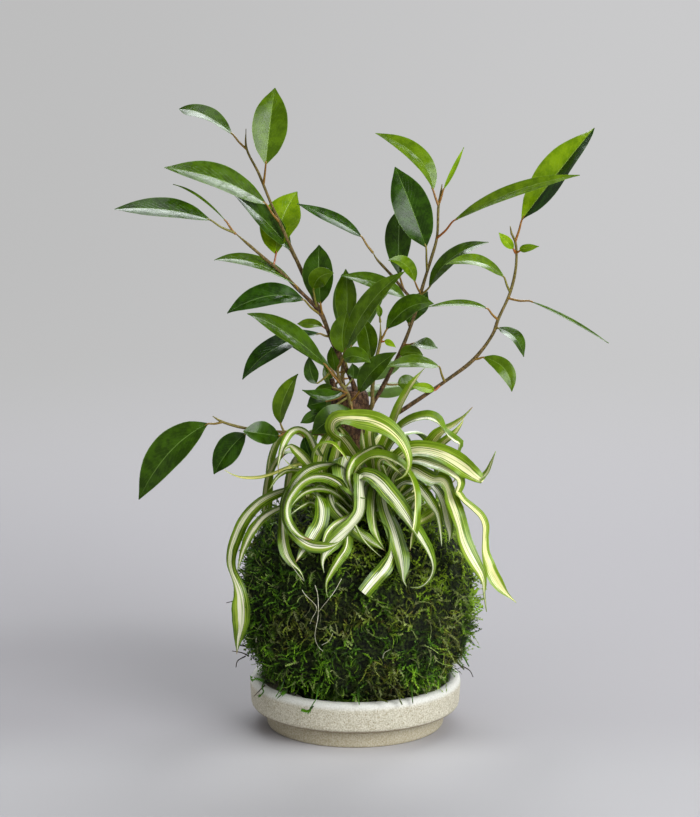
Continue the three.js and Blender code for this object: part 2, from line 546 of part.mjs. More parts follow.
const FRONT_STRAPS = [
  { width: 14, path: [[3, 160, 28, 8], [-1, 168, 29, 9], [-7, 176, 32, 8], [-12.5, 180, 36, 4],
    [-12, 184.5, 40, 4], [-6, 186.5, 44, 8], [3, 186, 46, 12], [12, 184.5, 48, 13], [20, 180.5, 51, 11],
    [27, 174, 54, 8],
    [31.5, 166, 57, 5], [32.8, 159, 58, 3], [30.5, 152.5, 56, 2], [24, 148.3, 53, 1]] },
  { width: 8, path: [[12, 150, 26, 5], [14.5, 163, 24, 5], [18, 172, 22, 5],
    [23.5, 185, 21, 5], [27, 194, 22, 5], [31, 202, 22, 4.5], [36, 210.5, 25, 3.5], [43, 218.8, 28, 0.8]] },
  { width: 9, path: [[16, 158, 26, 5], [20, 168, 26, 5], [25, 176, 26, 5], [28, 181.8, 27, 4],
    [34, 186, 30, 5], [40, 188, 33, 5.5], [46, 188.5, 36, 6], [50.5, 186.5, 36, 6], [54.5, 180.5, 38, 1.8],
    [58, 177, 39, 4], [62, 174, 40, 4.5], [65, 172, 40, 3.5], [64, 168.5, 40, 1.5], [63.4, 162, 40, 1],
    [63.2, 155, 41, 1], [61.5, 149, 41, 1], [58, 146, 41, 0.8]] },
  { width: 11, path: [[32, 150, 12, 6], [40, 162, 12, 8], [47, 170.5, 14, 9], [51, 176, 16, 8],
    [56, 180, 18, 4], [61, 183, 19, 3], [66.5, 187.5, 20, 2], [72.5, 194.5, 20, 0.6]] },
  { width: 7, path: [[36, 155, 16, 6], [46, 165, 20, 6], [54, 172, 24, 5], [61, 178, 28, 4],
    [66.5, 185.5, 30, 2], [67, 188, 30, 0.6]] },
  { width: 14, span: [0, 0.85], path: [[20, 152, 26, 8], [28, 163, 34, 9], [35, 167, 38, 10],
    [45, 167, 44, 10], [54, 164.5, 50, 11], [62, 160.5, 54, 12], [69, 156, 58, 12], [75, 151, 61, 8],
    [79, 148.3, 62, 3]] },
  { width: 14, span: [0.8, 1], path: [[76.5, 149.5, 61.5, 3], [81.5, 153, 60, 3], [84.5, 160, 57, 2.5],
    [86.8, 167, 55, 0.6]] },
  { width: 13, path: [[24, 150, 30, 7], [30, 155.5, 36, 8], [36, 155, 43, 9],
    [42, 151.5, 49, 9], [48, 148.5, 54, 9], [53.5, 148, 58, 8], [56.5, 143.5, 60, 6], [59, 136, 63, 9],
    [62, 128, 66, 9], [64.5, 120, 67, 8], [66.5, 112, 68, 9], [70, 104, 69, 9], [74, 97, 70, 8],
    [77.5, 91, 70, 6], [79.3, 85.5, 70, 3], [79.5, 79, 70, 1], [80.5, 73.5, 70, 1], [81.5, 67.5, 70, 0.6]] },
  { width: 12, span: [0, 0.5], path: [[28, 158, 30, 6], [38, 161, 40, 7], [47, 158.5, 48, 7],
    [54, 156, 54, 7], [60, 152.5, 58, 6.5], [64, 148, 61, 5], [62, 141, 62, 3]] },
  { width: 12, span: [0.4, 1], path: [[62, 143.5, 62, 2], [66, 136.5, 62, 3], [72, 131.2, 62, 3.6],
    [77, 126.3, 62, 4], [79.3, 121, 62, 4], [79.2, 113, 62, 3.5], [79.6, 104, 63, 5], [83, 95, 64, 8],
    [87.5, 86.5, 65, 8], [92, 80.3, 65, 5], [96, 76.5, 65, 2.5], [100, 73, 65, 0.6]] },
  { width: 8, path: [[44, 148, 46, 5], [50, 143, 52, 5], [54, 136, 57, 5.5], [56, 129, 61, 6],
    [58, 121, 64, 6.5], [58.7, 115, 66, 5], [58, 110.5, 66, 1.5]] },
  { width: 9, path: [[30, 147, 44, 5], [38, 146, 50, 5], [43, 140, 55, 7], [47, 134, 59, 6],
    [50.5, 128, 62, 4], [52, 121, 64, 3], [53, 114, 66, 2], [53.5, 108, 67, 1.2]] },
  { width: 10, path: [[40, 150, 26, 6], [50, 148, 34, 6], [54, 141, 40, 4], [52, 134, 44, 5],
    [47, 128, 50, 7], [41, 124, 54, 8], [36, 120, 57, 3]] },
  { width: 6, path: [[-2, 150, 40, 3], [0, 157, 42, 5], [5, 162, 44, 5], [11, 164.8, 47, 5],
    [18, 164.8, 49, 5], [24, 162.5, 50, 5], [29, 159, 50, 4], [32.5, 154.5, 52, 3], [35.5, 149.5, 56, 3],
    [38, 142, 62, 4], [38.5, 132, 65, 4], [38, 122, 68, 4.5], [35.5, 112, 70, 4], [33.8, 105, 71, 1]] },
  { width: 6, path: [[16, 158, 24, 4], [18, 168, 26, 4], [14.5, 170.5, 30, 3],
    [9, 168.8, 34, 3.5], [4, 166, 38, 4], [-1, 162, 42, 4.5], [-4, 156, 45, 4], [-4.3, 150, 47, 4],
    [-2.5, 143, 50, 3.5], [-1, 136, 54, 3], [-1.2, 130, 58, 3], [-5, 126.3, 61, 3.5], [-12, 122, 64, 4],
    [-17, 116.5, 67, 4], [-19.8, 109, 69, 3], [-20, 103, 71, 0.8]] },
  { width: 12, path: [[6, 145, 36, 5], [5, 151.5, 44, 5], [4, 149.5, 48, 6], [4, 143, 52, 7],
    [4.3, 136, 56, 7.5], [3, 128, 61, 7], [-2, 121, 65, 7], [-8, 115.5, 68, 9], [-14, 110, 70, 9.5],
    [-18.5, 104, 72, 6], [-20.3, 98, 73, 2], [-19.6, 91.5, 74, 0.8]] },
  { width: 13, path: [[2, 146, 38, 4], [4, 151.5, 44, 4], [9, 151.3, 48, 9], [15, 147, 52, 11],
    [20, 141, 56, 11], [25, 135, 60, 10], [30, 128, 64, 9], [35, 120.5, 67, 7], [40, 113, 70, 6],
    [44.5, 106, 71, 5], [47.3, 99, 72, 3], [47.8, 94, 73, 2], [46, 88.5, 75, 1.5], [42, 84, 76, 1.2],
    [38, 82.5, 77, 1], [34, 82.5, 77, 0.8]] },
  { width: 12, path: [[14, 146, 40, 6], [17, 140, 46, 6], [20, 130, 54, 8], [24, 120, 60, 9.5],
    [27, 110, 65, 10], [29, 101, 70, 9.5], [29.8, 93, 73, 7], [30, 87, 75, 4], [32, 82.5, 76, 0.6]] },
  { width: 11, span: [0, 0.9], path: [[17, 131, 50, 6], [19, 124, 55, 5], [21.5, 116, 60, 4],
    [22, 110, 64, 4], [22, 104, 67, 6], [19, 97, 70, 9], [14, 90, 73, 9.5], [9, 84, 76, 9],
    [5, 79, 78, 8.5]] },
  { width: 9, path: [[10, 142, 36, 5], [11.5, 142, 42, 5], [11.3, 135, 48, 6],
    [11, 127, 54, 6], [12, 119, 59, 5], [14.5, 112, 63, 4], [18, 106.5, 66, 1.5]] },
  { width: 9, path: [[-16, 140, 40, 6], [-14, 133, 46, 8], [-8, 126, 52, 8], [0, 118, 58, 7],
    [7, 113, 62, 7], [13, 109, 65, 5], [18.5, 105.3, 67, 1.5]] },
  { width: 8, path: [[-6, 125, 50, 5], [-5, 115, 58, 5], [-6, 107, 63, 6], [-11, 99.5, 68, 5.5],
    [-15.5, 92, 70, 4], [-18, 86, 72, 2], [-18, 80, 72.5, 1.2], [-17, 76, 73, 0.8]] },
  { width: 11, path: [[-4, 158, 34, 8], [-7, 164, 38, 8], [-9, 157, 44, 9], [-8, 150, 48, 8],
    [-5, 145, 51, 5], [-2, 141.3, 53, 3], [2, 138.8, 55, 1.2], [6.5, 137.5, 57, 0.8]] },
  { width: 11, path: [[-19, 150, 31, 8], [-21.5, 158, 31, 9], [-20.5, 165, 30.5, 8.5],
    [-17.5, 172, 28, 7], [-14, 178, 25, 6], [-11, 183, 21, 4], [-7, 185, 16, 3], [-2, 184.5, 14, 1.5]] },
  { width: 9, path: [[12, 155, 28, 6], [10.5, 168, 27, 7], [9.5, 179, 24, 6], [13, 188, 20, 3],
    [15, 192, 18.5, 0.8]] },
  { width: 4, path: [[-26, 160, 36, 1.5], [-24, 169, 40, 1.5], [-20, 172, 42, 1.5],
    [-14, 172, 44, 2], [-10, 168.5, 46, 2.2], [-6, 163.5, 48, 2.2], [-4, 160.5, 49, 0.8]] },
  { width: 11, path: [[-8, 150, 34, 4], [-6, 157, 38, 3], [-10, 159.3, 42, 3.5],
    [-16, 159.5, 46, 4], [-24, 158.5, 50, 6], [-31, 155.3, 54, 7], [-37, 149.5, 57, 7], [-41.5, 142, 60, 6],
    [-44.5, 134, 62, 5], [-44.5, 126, 64, 5], [-40.5, 118, 67, 6], [-35, 112.5, 70, 7], [-28, 108.5, 72, 8],
    [-20, 107.5, 73, 7], [-13, 109, 73, 4], [-8, 112, 72, 1]] },
  { width: 8, path: [[-6, 142, 48, 5], [-11, 148, 53, 7],
    [-19, 151.5, 56, 6], [-27, 151.2, 59, 5.5], [-33, 148, 61, 5], [-38.5, 142, 63, 5], [-42, 135, 65, 4.5],
    [-42.5, 127, 67, 4.5], [-38.5, 119, 70, 5], [-33, 114, 72, 4], [-27, 112, 73, 2]] },
  { width: 6, path: [[-10, 139.5, 48, 3], [-16, 143.2, 52, 3], [-24, 144, 54, 3], [-31, 142, 56, 3],
    [-36, 138, 58, 2.5], [-40.5, 131.5, 60, 1.5]] },
  { width: 11, path: [[-22, 146, 44, 6], [-26, 142.5, 48, 6], [-22.5, 137, 52, 9],
    [-21.3, 130, 56, 9], [-22.5, 122, 60, 9.5], [-26, 115, 64, 10], [-30, 109, 67, 8], [-34, 103, 69.5, 6],
    [-37, 98, 71, 2]] },
  { width: 8, path: [[-30, 148, 40, 4], [-42, 144, 48, 4], [-45.5, 136, 54, 4],
    [-45.8, 128, 57, 4.5], [-45.8, 120, 59, 5.5], [-45, 112, 61, 7], [-43, 104, 63, 7], [-39, 97.5, 65, 5],
    [-34.5, 93, 67, 1.5], [-31.5, 87, 68, 0.6]] },
  { width: 12, path: [[-24, 146, 36, 5], [-34, 146, 42, 4.5], [-42, 144, 46, 4.5],
    [-50, 141.5, 48, 5.5], [-58, 137.5, 49, 6.5], [-65, 131.5, 49, 7], [-70.5, 124, 48, 7.5],
    [-74.5, 115, 46, 7.5], [-77.5, 106, 44, 6.5], [-78.3, 98, 42, 5.5], [-77, 91.5, 41, 4.5],
    [-74.5, 85.5, 40, 6], [-72, 78, 39, 9.5], [-71, 70, 38, 12], [-71, 62, 36, 11], [-72, 54, 34, 7],
    [-73, 47, 32, 4], [-73.5, 41, 30, 0.8]] },
  { width: 8, path: [[-30, 143, 40, 3.5], [-38, 137, 46, 3], [-46, 133.2, 50, 3.5],
    [-52, 130.5, 51, 4.5], [-58, 126.5, 51, 5], [-63, 120.5, 50, 6], [-67, 113, 48, 5.5], [-70, 105, 46, 3.5],
    [-72, 97, 44, 2], [-73.5, 92.5, 43, 0.8]] },
  { width: 7, path: [[-18, 156, 28, 5], [-24, 168, 31, 5], [-29, 178, 34, 4],
    [-35, 181.3, 36, 4], [-40, 179.3, 37, 5], [-44, 173, 38, 4.5], [-46.5, 165, 39, 3], [-47.8, 158, 39, 1.5],
    [-47.5, 154, 39, 0.7]] },
  { width: 8, path: [[-24, 150, 30, 6], [-28, 158.5, 34, 6], [-31.5, 163, 36, 7],
    [-36, 167.5, 38, 6], [-40.5, 170.8, 39, 3], [-44, 168, 40, 1.5], [-45, 163, 40, 1]] },
  { width: 3.5, path: [[-24, 156, 28, 3], [-33, 159.5, 30, 2.5], [-42, 157, 32, 2.5],
    [-50, 154, 33, 2], [-58, 151.5, 34, 2], [-66, 150.8, 34, 1.8], [-72, 151.3, 34, 1.3], [-77, 153, 34, 0.8],
    [-82, 156, 34, 0.5]] },
  { width: 5, path: [[-28, 152, 34, 3], [-38, 155.5, 40, 2.5], [-44, 154.5, 43, 2.5],
    [-49, 150.5, 45, 3], [-52, 145.5, 46, 2.5], [-54, 142.5, 46, 0.8]] },
  { width: 7, path: [[16, 150, 40, 4], [15, 160, 44, 4], [18, 162, 47, 3], [22, 158.5, 49, 3],
    [27, 154, 51, 2.5], [31, 150.5, 52, 1]] },
  { width: 6, path: [[54, 146, 44, 4], [60, 141, 50, 4], [64, 136, 54, 4], [67.5, 131.5, 56, 2]] },
];

const FRONT_STATIONS = FRONT_STRAPS.map(strapStations);

// The back straps fan out from their own crown in a lower and an upper layer, arch over and hang.
const BACK_FAN = THREE.MathUtils.degToRad(118);
const BACK_LAYERS = [
  { rootY: 26, rise: [152, 162, 160, 146], reach: [40, 46], hang: [40, 70] },
  { rootY: 33, rise: [152, 170, 171, 154], reach: [50, 58], hang: [60, 95] },
];
const BACK_WIDTH = [7, 12];
const BACK_ROOT_SPREAD = 15;
const BACK_CLEARANCE = 5;

function backStations(number, random) {
  const between = ([low, high]) => THREE.MathUtils.lerp(low, high, random());
  const layer = BACK_LAYERS[number % 2];
  const across = (number + 0.5) / BACK_STRAPS - 0.5;
  const bearing = Math.PI / 2 - BACK_FAN * across + 0.06 * (random() - 0.5);
  const outward = new THREE.Vector3(Math.cos(bearing), Math.sin(bearing), 0);
  const sideways = new THREE.Vector3(-outward.y, outward.x, 0);
  const reach = between(layer.reach);
  const hang = between(layer.hang);
  const width = between(BACK_WIDTH);
  const drift = between([-6, 6]);
  const twist = between([-0.45, 0.45]);
  const [collar, upward, level, over] = layer.rise;
  const rows = [[0, ROOT_HEIGHT], [4, collar], [0.35 * reach, upward], [0.75 * reach, level], [reach, over],
    [reach + 4, over - hang * 0.55], [reach + 2, over - hang]];
  const rootX = BACK_CROWN.x + 2 * BACK_ROOT_SPREAD * across;
  const places = rows.map(([out, z], i) => new THREE.Vector3(rootX, layer.rootY, z)
    .addScaledVector(outward, out)
    .addScaledVector(sideways, drift * (i / (rows.length - 1)) ** 2));
  const curve = new THREE.CatmullRomCurve3(places, false, 'centripetal');
  const steps = Math.round(curve.getLength() / STRAP_SAMPLE);
  const stations = Array.from({ length: steps + 1 }, (_, i) => {
    const t = curve.getUtoTmapping(i / steps);
    const forward = curve.getTangent(t);
    const roll = twist * (i / steps);
    const flat = sideways.clone().addScaledVector(forward, -sideways.dot(forward)).normalize();
    const upright = flat.clone().cross(forward);
    const side = flat.clone().multiplyScalar(Math.cos(roll)).addScaledVector(upright, Math.sin(roll));
    const half = Math.max((width * strapShare(i / steps)) / 2, TIP_HALF);
    const place = clearOfMoss(curve.getPoint(t), BACK_CLEARANCE, outward);
    return { place, forward, side, face: side.clone().cross(forward), half };
  });
  narrowBends(stations);
  return sparse(stations);
}

const backRandom = seeded(SEED);
const BACK_STATIONS = Array.from({ length: BACK_STRAPS }, (_, i) => backStations(i, backRandom));

function ellipse({ x, y, wide, deep }, scale, grow, z) {
  return Array.from({ length: CROWN_STEPS }, (_, i) => {
    const angle = (2 * Math.PI * i) / CROWN_STEPS;
    const out = [(wide + grow) * scale * Math.cos(angle), (deep + grow) * scale * Math.sin(angle)];
    return new THREE.Vector3(x + out[0], y + out[1], z);
  });
}

function crownLump(crown) {
  const dome = CROWN_TOP - ROOT_HEIGHT;
  return loft([ellipse(crown, 1, 0, CROWN_BASE), ellipse(crown, 1, 0, ROOT_HEIGHT + 0.25 * dome),
    ellipse(crown, 0.8, 0, ROOT_HEIGHT + 0.75 * dome), ellipse(crown, 0.4, 0, CROWN_TOP)]);
}

function crownPocket(crown) {
  return loft([ellipse(crown, 1, GAP, CROWN_BASE - GAP), ellipse(crown, 1, GAP, SOIL_TOP + 2)]);
}

function spiderPlant(crown, allStations) {
  return toGeometry(joined([crownLump(crown), ...allStations.flatMap(bladeLengths)]));
}

// Ball

// A point of the ball's outline, from the bottom (turn 0) to the top (turn pi): [radius, z].
function ballPoint(radius, halfHeight, turn) {
  const power = turn < Math.PI / 2 ? LOWER_POWER : UPPER_POWER;
  const r = radius * Math.sin(turn) ** (2 / power);
  const rise = halfHeight * Math.abs(Math.cos(turn)) ** (2 / power);
  return [r, BALL_Z + (turn < Math.PI / 2 ? -rise : rise)];
}

// The outline from the bottom up to where it meets the vertical wall at a given radius.
function ballOutline(radius, halfHeight, rimRadius, steps) {
  const lastTurn = Math.PI - Math.asin((rimRadius / radius) ** (UPPER_POWER / 2));
  return Array.from({ length: steps + 1 }, (_, i) => ballPoint(radius, halfHeight, (lastTurn * i) / steps));
}

const WALL_ROWS = 9;
const MOSS_ROWS = 14;
const SOIL_GAP = 1.6;

function soilBall() {
  const wall = ballOutline(SOIL_RADIUS, SOIL_HALF_HEIGHT, OPENING_RADIUS - GAP, WALL_ROWS);
  const outline = [...wall, [OPENING_RADIUS - GAP, SOIL_TOP], [0, SOIL_TOP]];
  const whole = toSolid(turned(outline, BALL_STEPS, BALL_X));
  const holeOutline = [[0, TRUNK_HOLE_FLOOR], [TRUNK_HOLE_RADIUS, TRUNK_HOLE_FLOOR],
    [TRUNK_HOLE_RADIUS, SOIL_TOP + 2], [0, SOIL_TOP + 2]];
  return toGeometry(whole
    .subtract(toSolid(turned(holeOutline, 24, TRUNK_X)))
    .subtract(toSolid(crownPocket(FRONT_CROWN)))
    .subtract(toSolid(crownPocket(BACK_CROWN))));
}

// Soft swells of the moss, dying out towards the saucer's lip.
const RELIEF = 1.6;
const RELIEF_FROM = 45;
const RELIEF_FULL = 62;

function mossRelief(angle, z) {
  const fade = THREE.MathUtils.smoothstep(z, RELIEF_FROM, RELIEF_FULL);
  const broad = Math.sin(5 * angle + z * 0.09) + 0.5 * Math.sin(z * 0.21);
  const fine = 0.7 * Math.sin(9 * angle - z * 0.16);
  return (RELIEF * fade * (broad + fine)) / 2.2;
}

function mossBody() {
  const outside = ballOutline(MOSS_RADIUS, MOSS_HALF_HEIGHT, OPENING_RADIUS, MOSS_ROWS);
  const inside = ballOutline(SOIL_RADIUS + SOIL_GAP, SOIL_HALF_HEIGHT + SOIL_GAP, OPENING_RADIUS, WALL_ROWS);
  const resting = outside.map(([r, z]) => [r, r < REST_RADIUS ? outside[0][1] : z]);
  const body = turned([...resting, ...inside.reverse()], BALL_STEPS, BALL_X);
  const position = body.attributes.position;
  for (let i = 0; i < position.count; i += 1) {
    const x = position.getX(i) - BALL_X;
    const y = position.getY(i);
    const z = position.getZ(i);
    const radius = Math.hypot(x, y);
    const outer = radius > SOIL_RADIUS + SOIL_GAP + 1 || (z > SOIL_TOP && radius > OPENING_RADIUS + 1);
    if (outer) {
      const swell = mossRelief(Math.atan2(y, x), z) / radius;
      position.setXY(i, BALL_X + x * (1 + swell), y * (1 + swell));
    }
  }
  return body;
}

// Loose sprigs that stand out of the moss, leaning, clear of every strap.
function mossNeedles() {
  const random = seeded(SEED + 4);
  const straps = [...FRONT_STATIONS, ...BACK_STATIONS].flat().map((station) => station.place);
  const up = new THREE.Vector3(0, 1, 0);
  const needles = [];
  while (needles.length < NEEDLE_COUNT) {
    const angle = 2 * Math.PI * random();
    const [radius, z] = ballPoint(MOSS_RADIUS, MOSS_HALF_HEIGHT, Math.PI * (0.34 + 0.42 * random()));
    const length = 7 + 3 * random();
    const outward = new THREE.Vector3(Math.cos(angle), Math.sin(angle), 0);
    const lean = new THREE.Vector3(random() - 0.5, random() - 0.5, random() - 0.7);
    const way = outward.clone().addScaledVector(lean, 1.1).normalize();
    const swell = mossRelief(angle, z) - NEEDLE_ROOT;
    const foot = new THREE.Vector3(BALL_X, 0, z).addScaledVector(outward, radius + swell);
    const tip = foot.clone().addScaledVector(way, length);
    const room = (place) => Math.min(place.distanceTo(foot), place.distanceTo(tip));
    const clear = straps.every((place) => room(place) > NEEDLE_ROOM);
    const middle = foot.clone().lerp(tip, 0.5);
    if (!clear || z < NEEDLE_LOWEST) continue;
    const needle = new THREE.ConeGeometry(NEEDLE_WIDTH / 2, length, 3);
    needle.applyQuaternion(new THREE.Quaternion().setFromUnitVectors(up, way));
    needle.translate(...middle.toArray());
    needles.push(needle);
  }
  return needles;
}

function mossCover() {
  return toGeometry(joined([mossBody(), ...mossNeedles()]));
}

// Two slings under the soil ball, crossing at its bottom, tied to a hoop near its top.
function bindingThread() {
  const side = ballOutline(SOIL_RADIUS + THREAD_OFFSET, SOIL_HALF_HEIGHT + THREAD_OFFSET,
    OPENING_RADIUS - GAP, WALL_ROWS);
  side.pop();
  const onBall = ([r, z], angle) => new THREE.Vector3(BALL_X + r * Math.cos(angle), r * Math.sin(angle), z);
  const slings = [0, Math.PI / 2].map((angle) => {
    const down = side.slice(1).reverse().map((point) => onBall(point, angle + Math.PI));
    const rise = side.map((point) => onBall(point, angle));
    return twig([...down, ...rise], [THREAD_RADIUS, THREAD_RADIUS], THREAD_SIDES);
  });
  const [hoopRadius, hoopHeight] = side[side.length - 1];
  const section = Array.from({ length: THREAD_SIDES }, (_, i) => {
    const angle = (2 * Math.PI * i) / THREAD_SIDES;
    const out = THREAD_RADIUS * Math.cos(angle);
    return new THREE.Vector2(hoopRadius + out, hoopHeight + THREAD_RADIUS * Math.sin(angle));
  });
  const hoop = new THREE.LatheGeometry([...section, section[0]], BALL_STEPS);
  hoop.rotateX(Math.PI / 2);
  hoop.translate(BALL_X, 0, 0);
  return toGeometry(joined([hoop, ...slings]));
}

// Saucer: foot, groove, upright band and a rounded lip, with a flat floor inside.
function saucer() {
  const lipMiddle = SAUCER_RADIUS - LIP_WIDTH / 2;
  const outline = [[0, 0], [FOOT_RADIUS - 1, 0], [FOOT_RADIUS, 1], [FOOT_RADIUS + 0.5, FOOT_HEIGHT],
    [SAUCER_RADIUS - 2.4, FOOT_HEIGHT + 1.4], [SAUCER_RADIUS - 0.8, FOOT_HEIGHT + 3.4],
    [SAUCER_RADIUS, SAUCER_HEIGHT - 4], [SAUCER_RADIUS - 0.9, SAUCER_HEIGHT - 1.2],
    [lipMiddle + 1.4, SAUCER_HEIGHT], [lipMiddle - 1.4, SAUCER_HEIGHT],
    [SAUCER_RADIUS - LIP_WIDTH + 0.6, SAUCER_HEIGHT - 1.2], [SAUCER_RADIUS - LIP_WIDTH, SAUCER_HEIGHT - 4],
    [SAUCER_RADIUS - LIP_WIDTH - 1.4, SAUCER_FLOOR + 6], [SAUCER_RADIUS - LIP_WIDTH - 8, SAUCER_FLOOR],
    [0, SAUCER_FLOOR]];
  return toGeometry(toSolid(turned(outline, SAUCER_STEPS)));
}

// Trunk: short and knobbly, with a flat cut top, a thin dead stub and a socket for each stem.
const TRUNK_RADII = [[100.3, 10], [125, 13], [137, 13.2], [150, 12.6], [158, 12.8], [166, 11], [176, 11.2],
  [186, 12], [194, 11.2], [202, 11.4], [209, 9.4]];
const TRUNK_STUB = [[-9, 196, 2], [-13, 204, 3], [-14.5, 212, 3]];

function trunk(stems) {
  const rings = TRUNK_RADII.map(([z, radius]) => Array.from({ length: TRUNK_STEPS }, (_, i) => {
    const angle = (2 * Math.PI * i) / TRUNK_STEPS;
    const knobs = 0.035 * Math.sin(3 * angle + z * 0.11) + 0.02 * Math.sin(5 * angle - z * 0.2);
    const r = Math.min(radius * (1 + knobs), TRUNK_HOLE_RADIUS - 2 * GAP);
    return new THREE.Vector3(TRUNK_X + r * Math.cos(angle), r * Math.sin(angle), z);
  }));
  const stub = twig(TRUNK_STUB.map(seen), [2.6, 1.6]);
  return toGeometry(stems.reduce((whole, stem) => whole.subtract(toSolid(socketOf(stem))),
    joined([loft(rings), stub])));
}

// Colours

function finish(colour, roughness) {
  return new THREE.MeshStandardMaterial({ color: colour, roughness, metalness: 0 });
}

const STONE = finish(0xcfc8b6, 0.75);
const SOIL = finish(0x3a2a1e, 1);
const THREAD = finish(0xb9a67d, 0.9);
const MOSS = finish(0x4c6b1f, 0.95);
const BARK = finish(0x6b4a38, 0.85);
const FIG_GREEN = finish(0x2f6b34, 0.4);
const STRAP_GREEN = finish(0x9fbf5a, 0.4);

const STEMS = {
  fig_stem_tall_left: TALL_LEFT_STEM,
  fig_stem_low_left: LOW_LEFT_STEM,
  fig_stem_front: FRONT_STEM,
  fig_stem_middle: MIDDLE_STEM,
  fig_stem_tall_right: TALL_RIGHT_STEM,
  fig_stem_outer_right: OUTER_RIGHT_STEM,
  fig_stem_back: BACK_STEM,
};

// The whole plant

const group = new THREE.Group();

function addPiece(name, geometry, material) {
  const mesh = new THREE.Mesh(geometry, material.clone());
  mesh.name = name;
  group.add(mesh);
}

addPiece('saucer', saucer(), STONE);
addPiece('soil_ball', soilBall(), SOIL);
addPiece('binding_thread', bindingThread(), THREAD);
addPiece('moss_cover', mossCover(), MOSS);
addPiece('fig_trunk', trunk(Object.values(STEMS)), BARK);
for (const [name, stem] of Object.entries(STEMS)) addPiece(name, leafyStem(stem), FIG_GREEN);
addPiece('spider_plant_front', spiderPlant(FRONT_CROWN, FRONT_STATIONS), STRAP_GREEN);
addPiece('spider_plant_back', spiderPlant(BACK_CROWN, BACK_STATIONS), STRAP_GREEN);

export default group;
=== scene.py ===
# A kokedama plant in its stoneware saucer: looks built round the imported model.
import json
import math
import random
import bpy
import numpy as np
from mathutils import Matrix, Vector, noise

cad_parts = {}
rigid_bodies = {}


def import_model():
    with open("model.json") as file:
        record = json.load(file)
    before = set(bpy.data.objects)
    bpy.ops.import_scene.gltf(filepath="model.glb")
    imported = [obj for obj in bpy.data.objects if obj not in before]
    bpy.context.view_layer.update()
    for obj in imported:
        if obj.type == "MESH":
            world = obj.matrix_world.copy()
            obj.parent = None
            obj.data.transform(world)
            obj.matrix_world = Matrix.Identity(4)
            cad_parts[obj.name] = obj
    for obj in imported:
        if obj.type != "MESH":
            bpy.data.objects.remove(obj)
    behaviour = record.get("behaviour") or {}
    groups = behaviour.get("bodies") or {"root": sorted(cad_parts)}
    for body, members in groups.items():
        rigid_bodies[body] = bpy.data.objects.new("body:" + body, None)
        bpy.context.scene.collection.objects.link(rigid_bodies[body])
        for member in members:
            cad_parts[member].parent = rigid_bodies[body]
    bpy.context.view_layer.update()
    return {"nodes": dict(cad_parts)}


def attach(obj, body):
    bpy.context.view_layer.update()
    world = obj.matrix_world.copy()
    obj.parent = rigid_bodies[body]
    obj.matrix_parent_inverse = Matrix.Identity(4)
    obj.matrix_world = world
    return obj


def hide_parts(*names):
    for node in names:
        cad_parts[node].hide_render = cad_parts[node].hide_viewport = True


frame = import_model()

# Camera. It stands on a tripod in front of the plant and looks down a little. Places on the plants
# are given as [across, up, near] in millimetres: across and up lie in the plane through the origin
# that faces the camera, and near is how far the place stands forward of the ball's middle.
MM = 0.001
EYE = Vector((-3.3, -1441.2, 458.6))
AIM = Vector((-3.3, 34.6, 190.4))
LOOK_DOWN = math.radians(10.3)
LENS = 106.6


def seen(place):
    across, up, near = place
    on_plane = Vector((across, up * math.sin(LOOK_DOWN), up * math.cos(LOOK_DOWN)))
    return EYE.lerp(on_plane, (-near - EYE.y) / (on_plane.y - EYE.y))


def placed(name, data):
    made = bpy.data.objects.new(name, data)
    scene.collection.objects.link(made)
    return made


scene = bpy.context.scene
camera = placed("studio_camera", bpy.data.cameras.new("studio_camera"))
camera.data.lens = LENS
camera.location = EYE * MM
camera.rotation_euler = (AIM - EYE).to_track_quat("-Z", "Y").to_euler()
scene.camera = camera
scene.view_settings.view_transform = "Standard"

# Studio. A round bowl of matt pale paper is floor and backdrop in one. It glows softly far off, a
# painted light that is dimmer at the left and brighter at the right. Near the plant its colour holds
# painted shade at the left and painted light in front, and a painted pool of light, paler and glowing
# a little, lies in front of the saucer. A softbox stands at the right, a small one hangs overhead and
# a wide one stands high at the back. Two more, for the glint, only show in glossy skins.
BOWL_FLOOR, BOWL_BEND, BOWL_HEIGHT, BOWL_STEPS = 2300, 700, 2200, 96
# Where the paper's painted shade at the left and its painted light in front fade in and out.
SIDE_FADE, BEHIND_FADE, FRONT_FADE = (-0.25, 0.25), (0.13, 0.27), (0.02, -0.12)
GLOW_FADE, GLOW_SIDES = (0.4, 1.5), (-0.7, 0.7)
# Paper colours: painted shade, plain, painted light in front, and the paper's own clouding.
SHADED_PAPER, PAPER, PAINTED_LIGHT_PAPER, CLOUD_PAPER = (158, 155, 158), (171, 168, 171), (176, 174, 176), (190, 188, 190)
# The far paper's glow is painted light, dimmer at the left and brighter at the right.
GLOW_LEFT, GLOW_RIGHT, BLACK = (189, 189, 189), (202, 202, 203), (0, 0, 0)
CLOUD_SCALE, CLOUD_SHARE = 1.5, 0.1
# A painted pool of light on the paper in front of the saucer: a paler colour and a faint glow.
PAINTED_POOL_PAPER = (214, 212, 214)
POOL_MIDDLE, POOL_SLANT, POOL_SIDES = 0.014, -0.2, (0.12, 0.02)
POOL_BACK, POOL_FRONT = (-0.02, -0.08), (-0.19, -0.045)
PAINTED_POOL_GLOW = (0.07, 0.07, 0.071, 1)
AIR_COLOUR, AIR_STRENGTH = (0.95, 0.98, 1, 1), 0.28
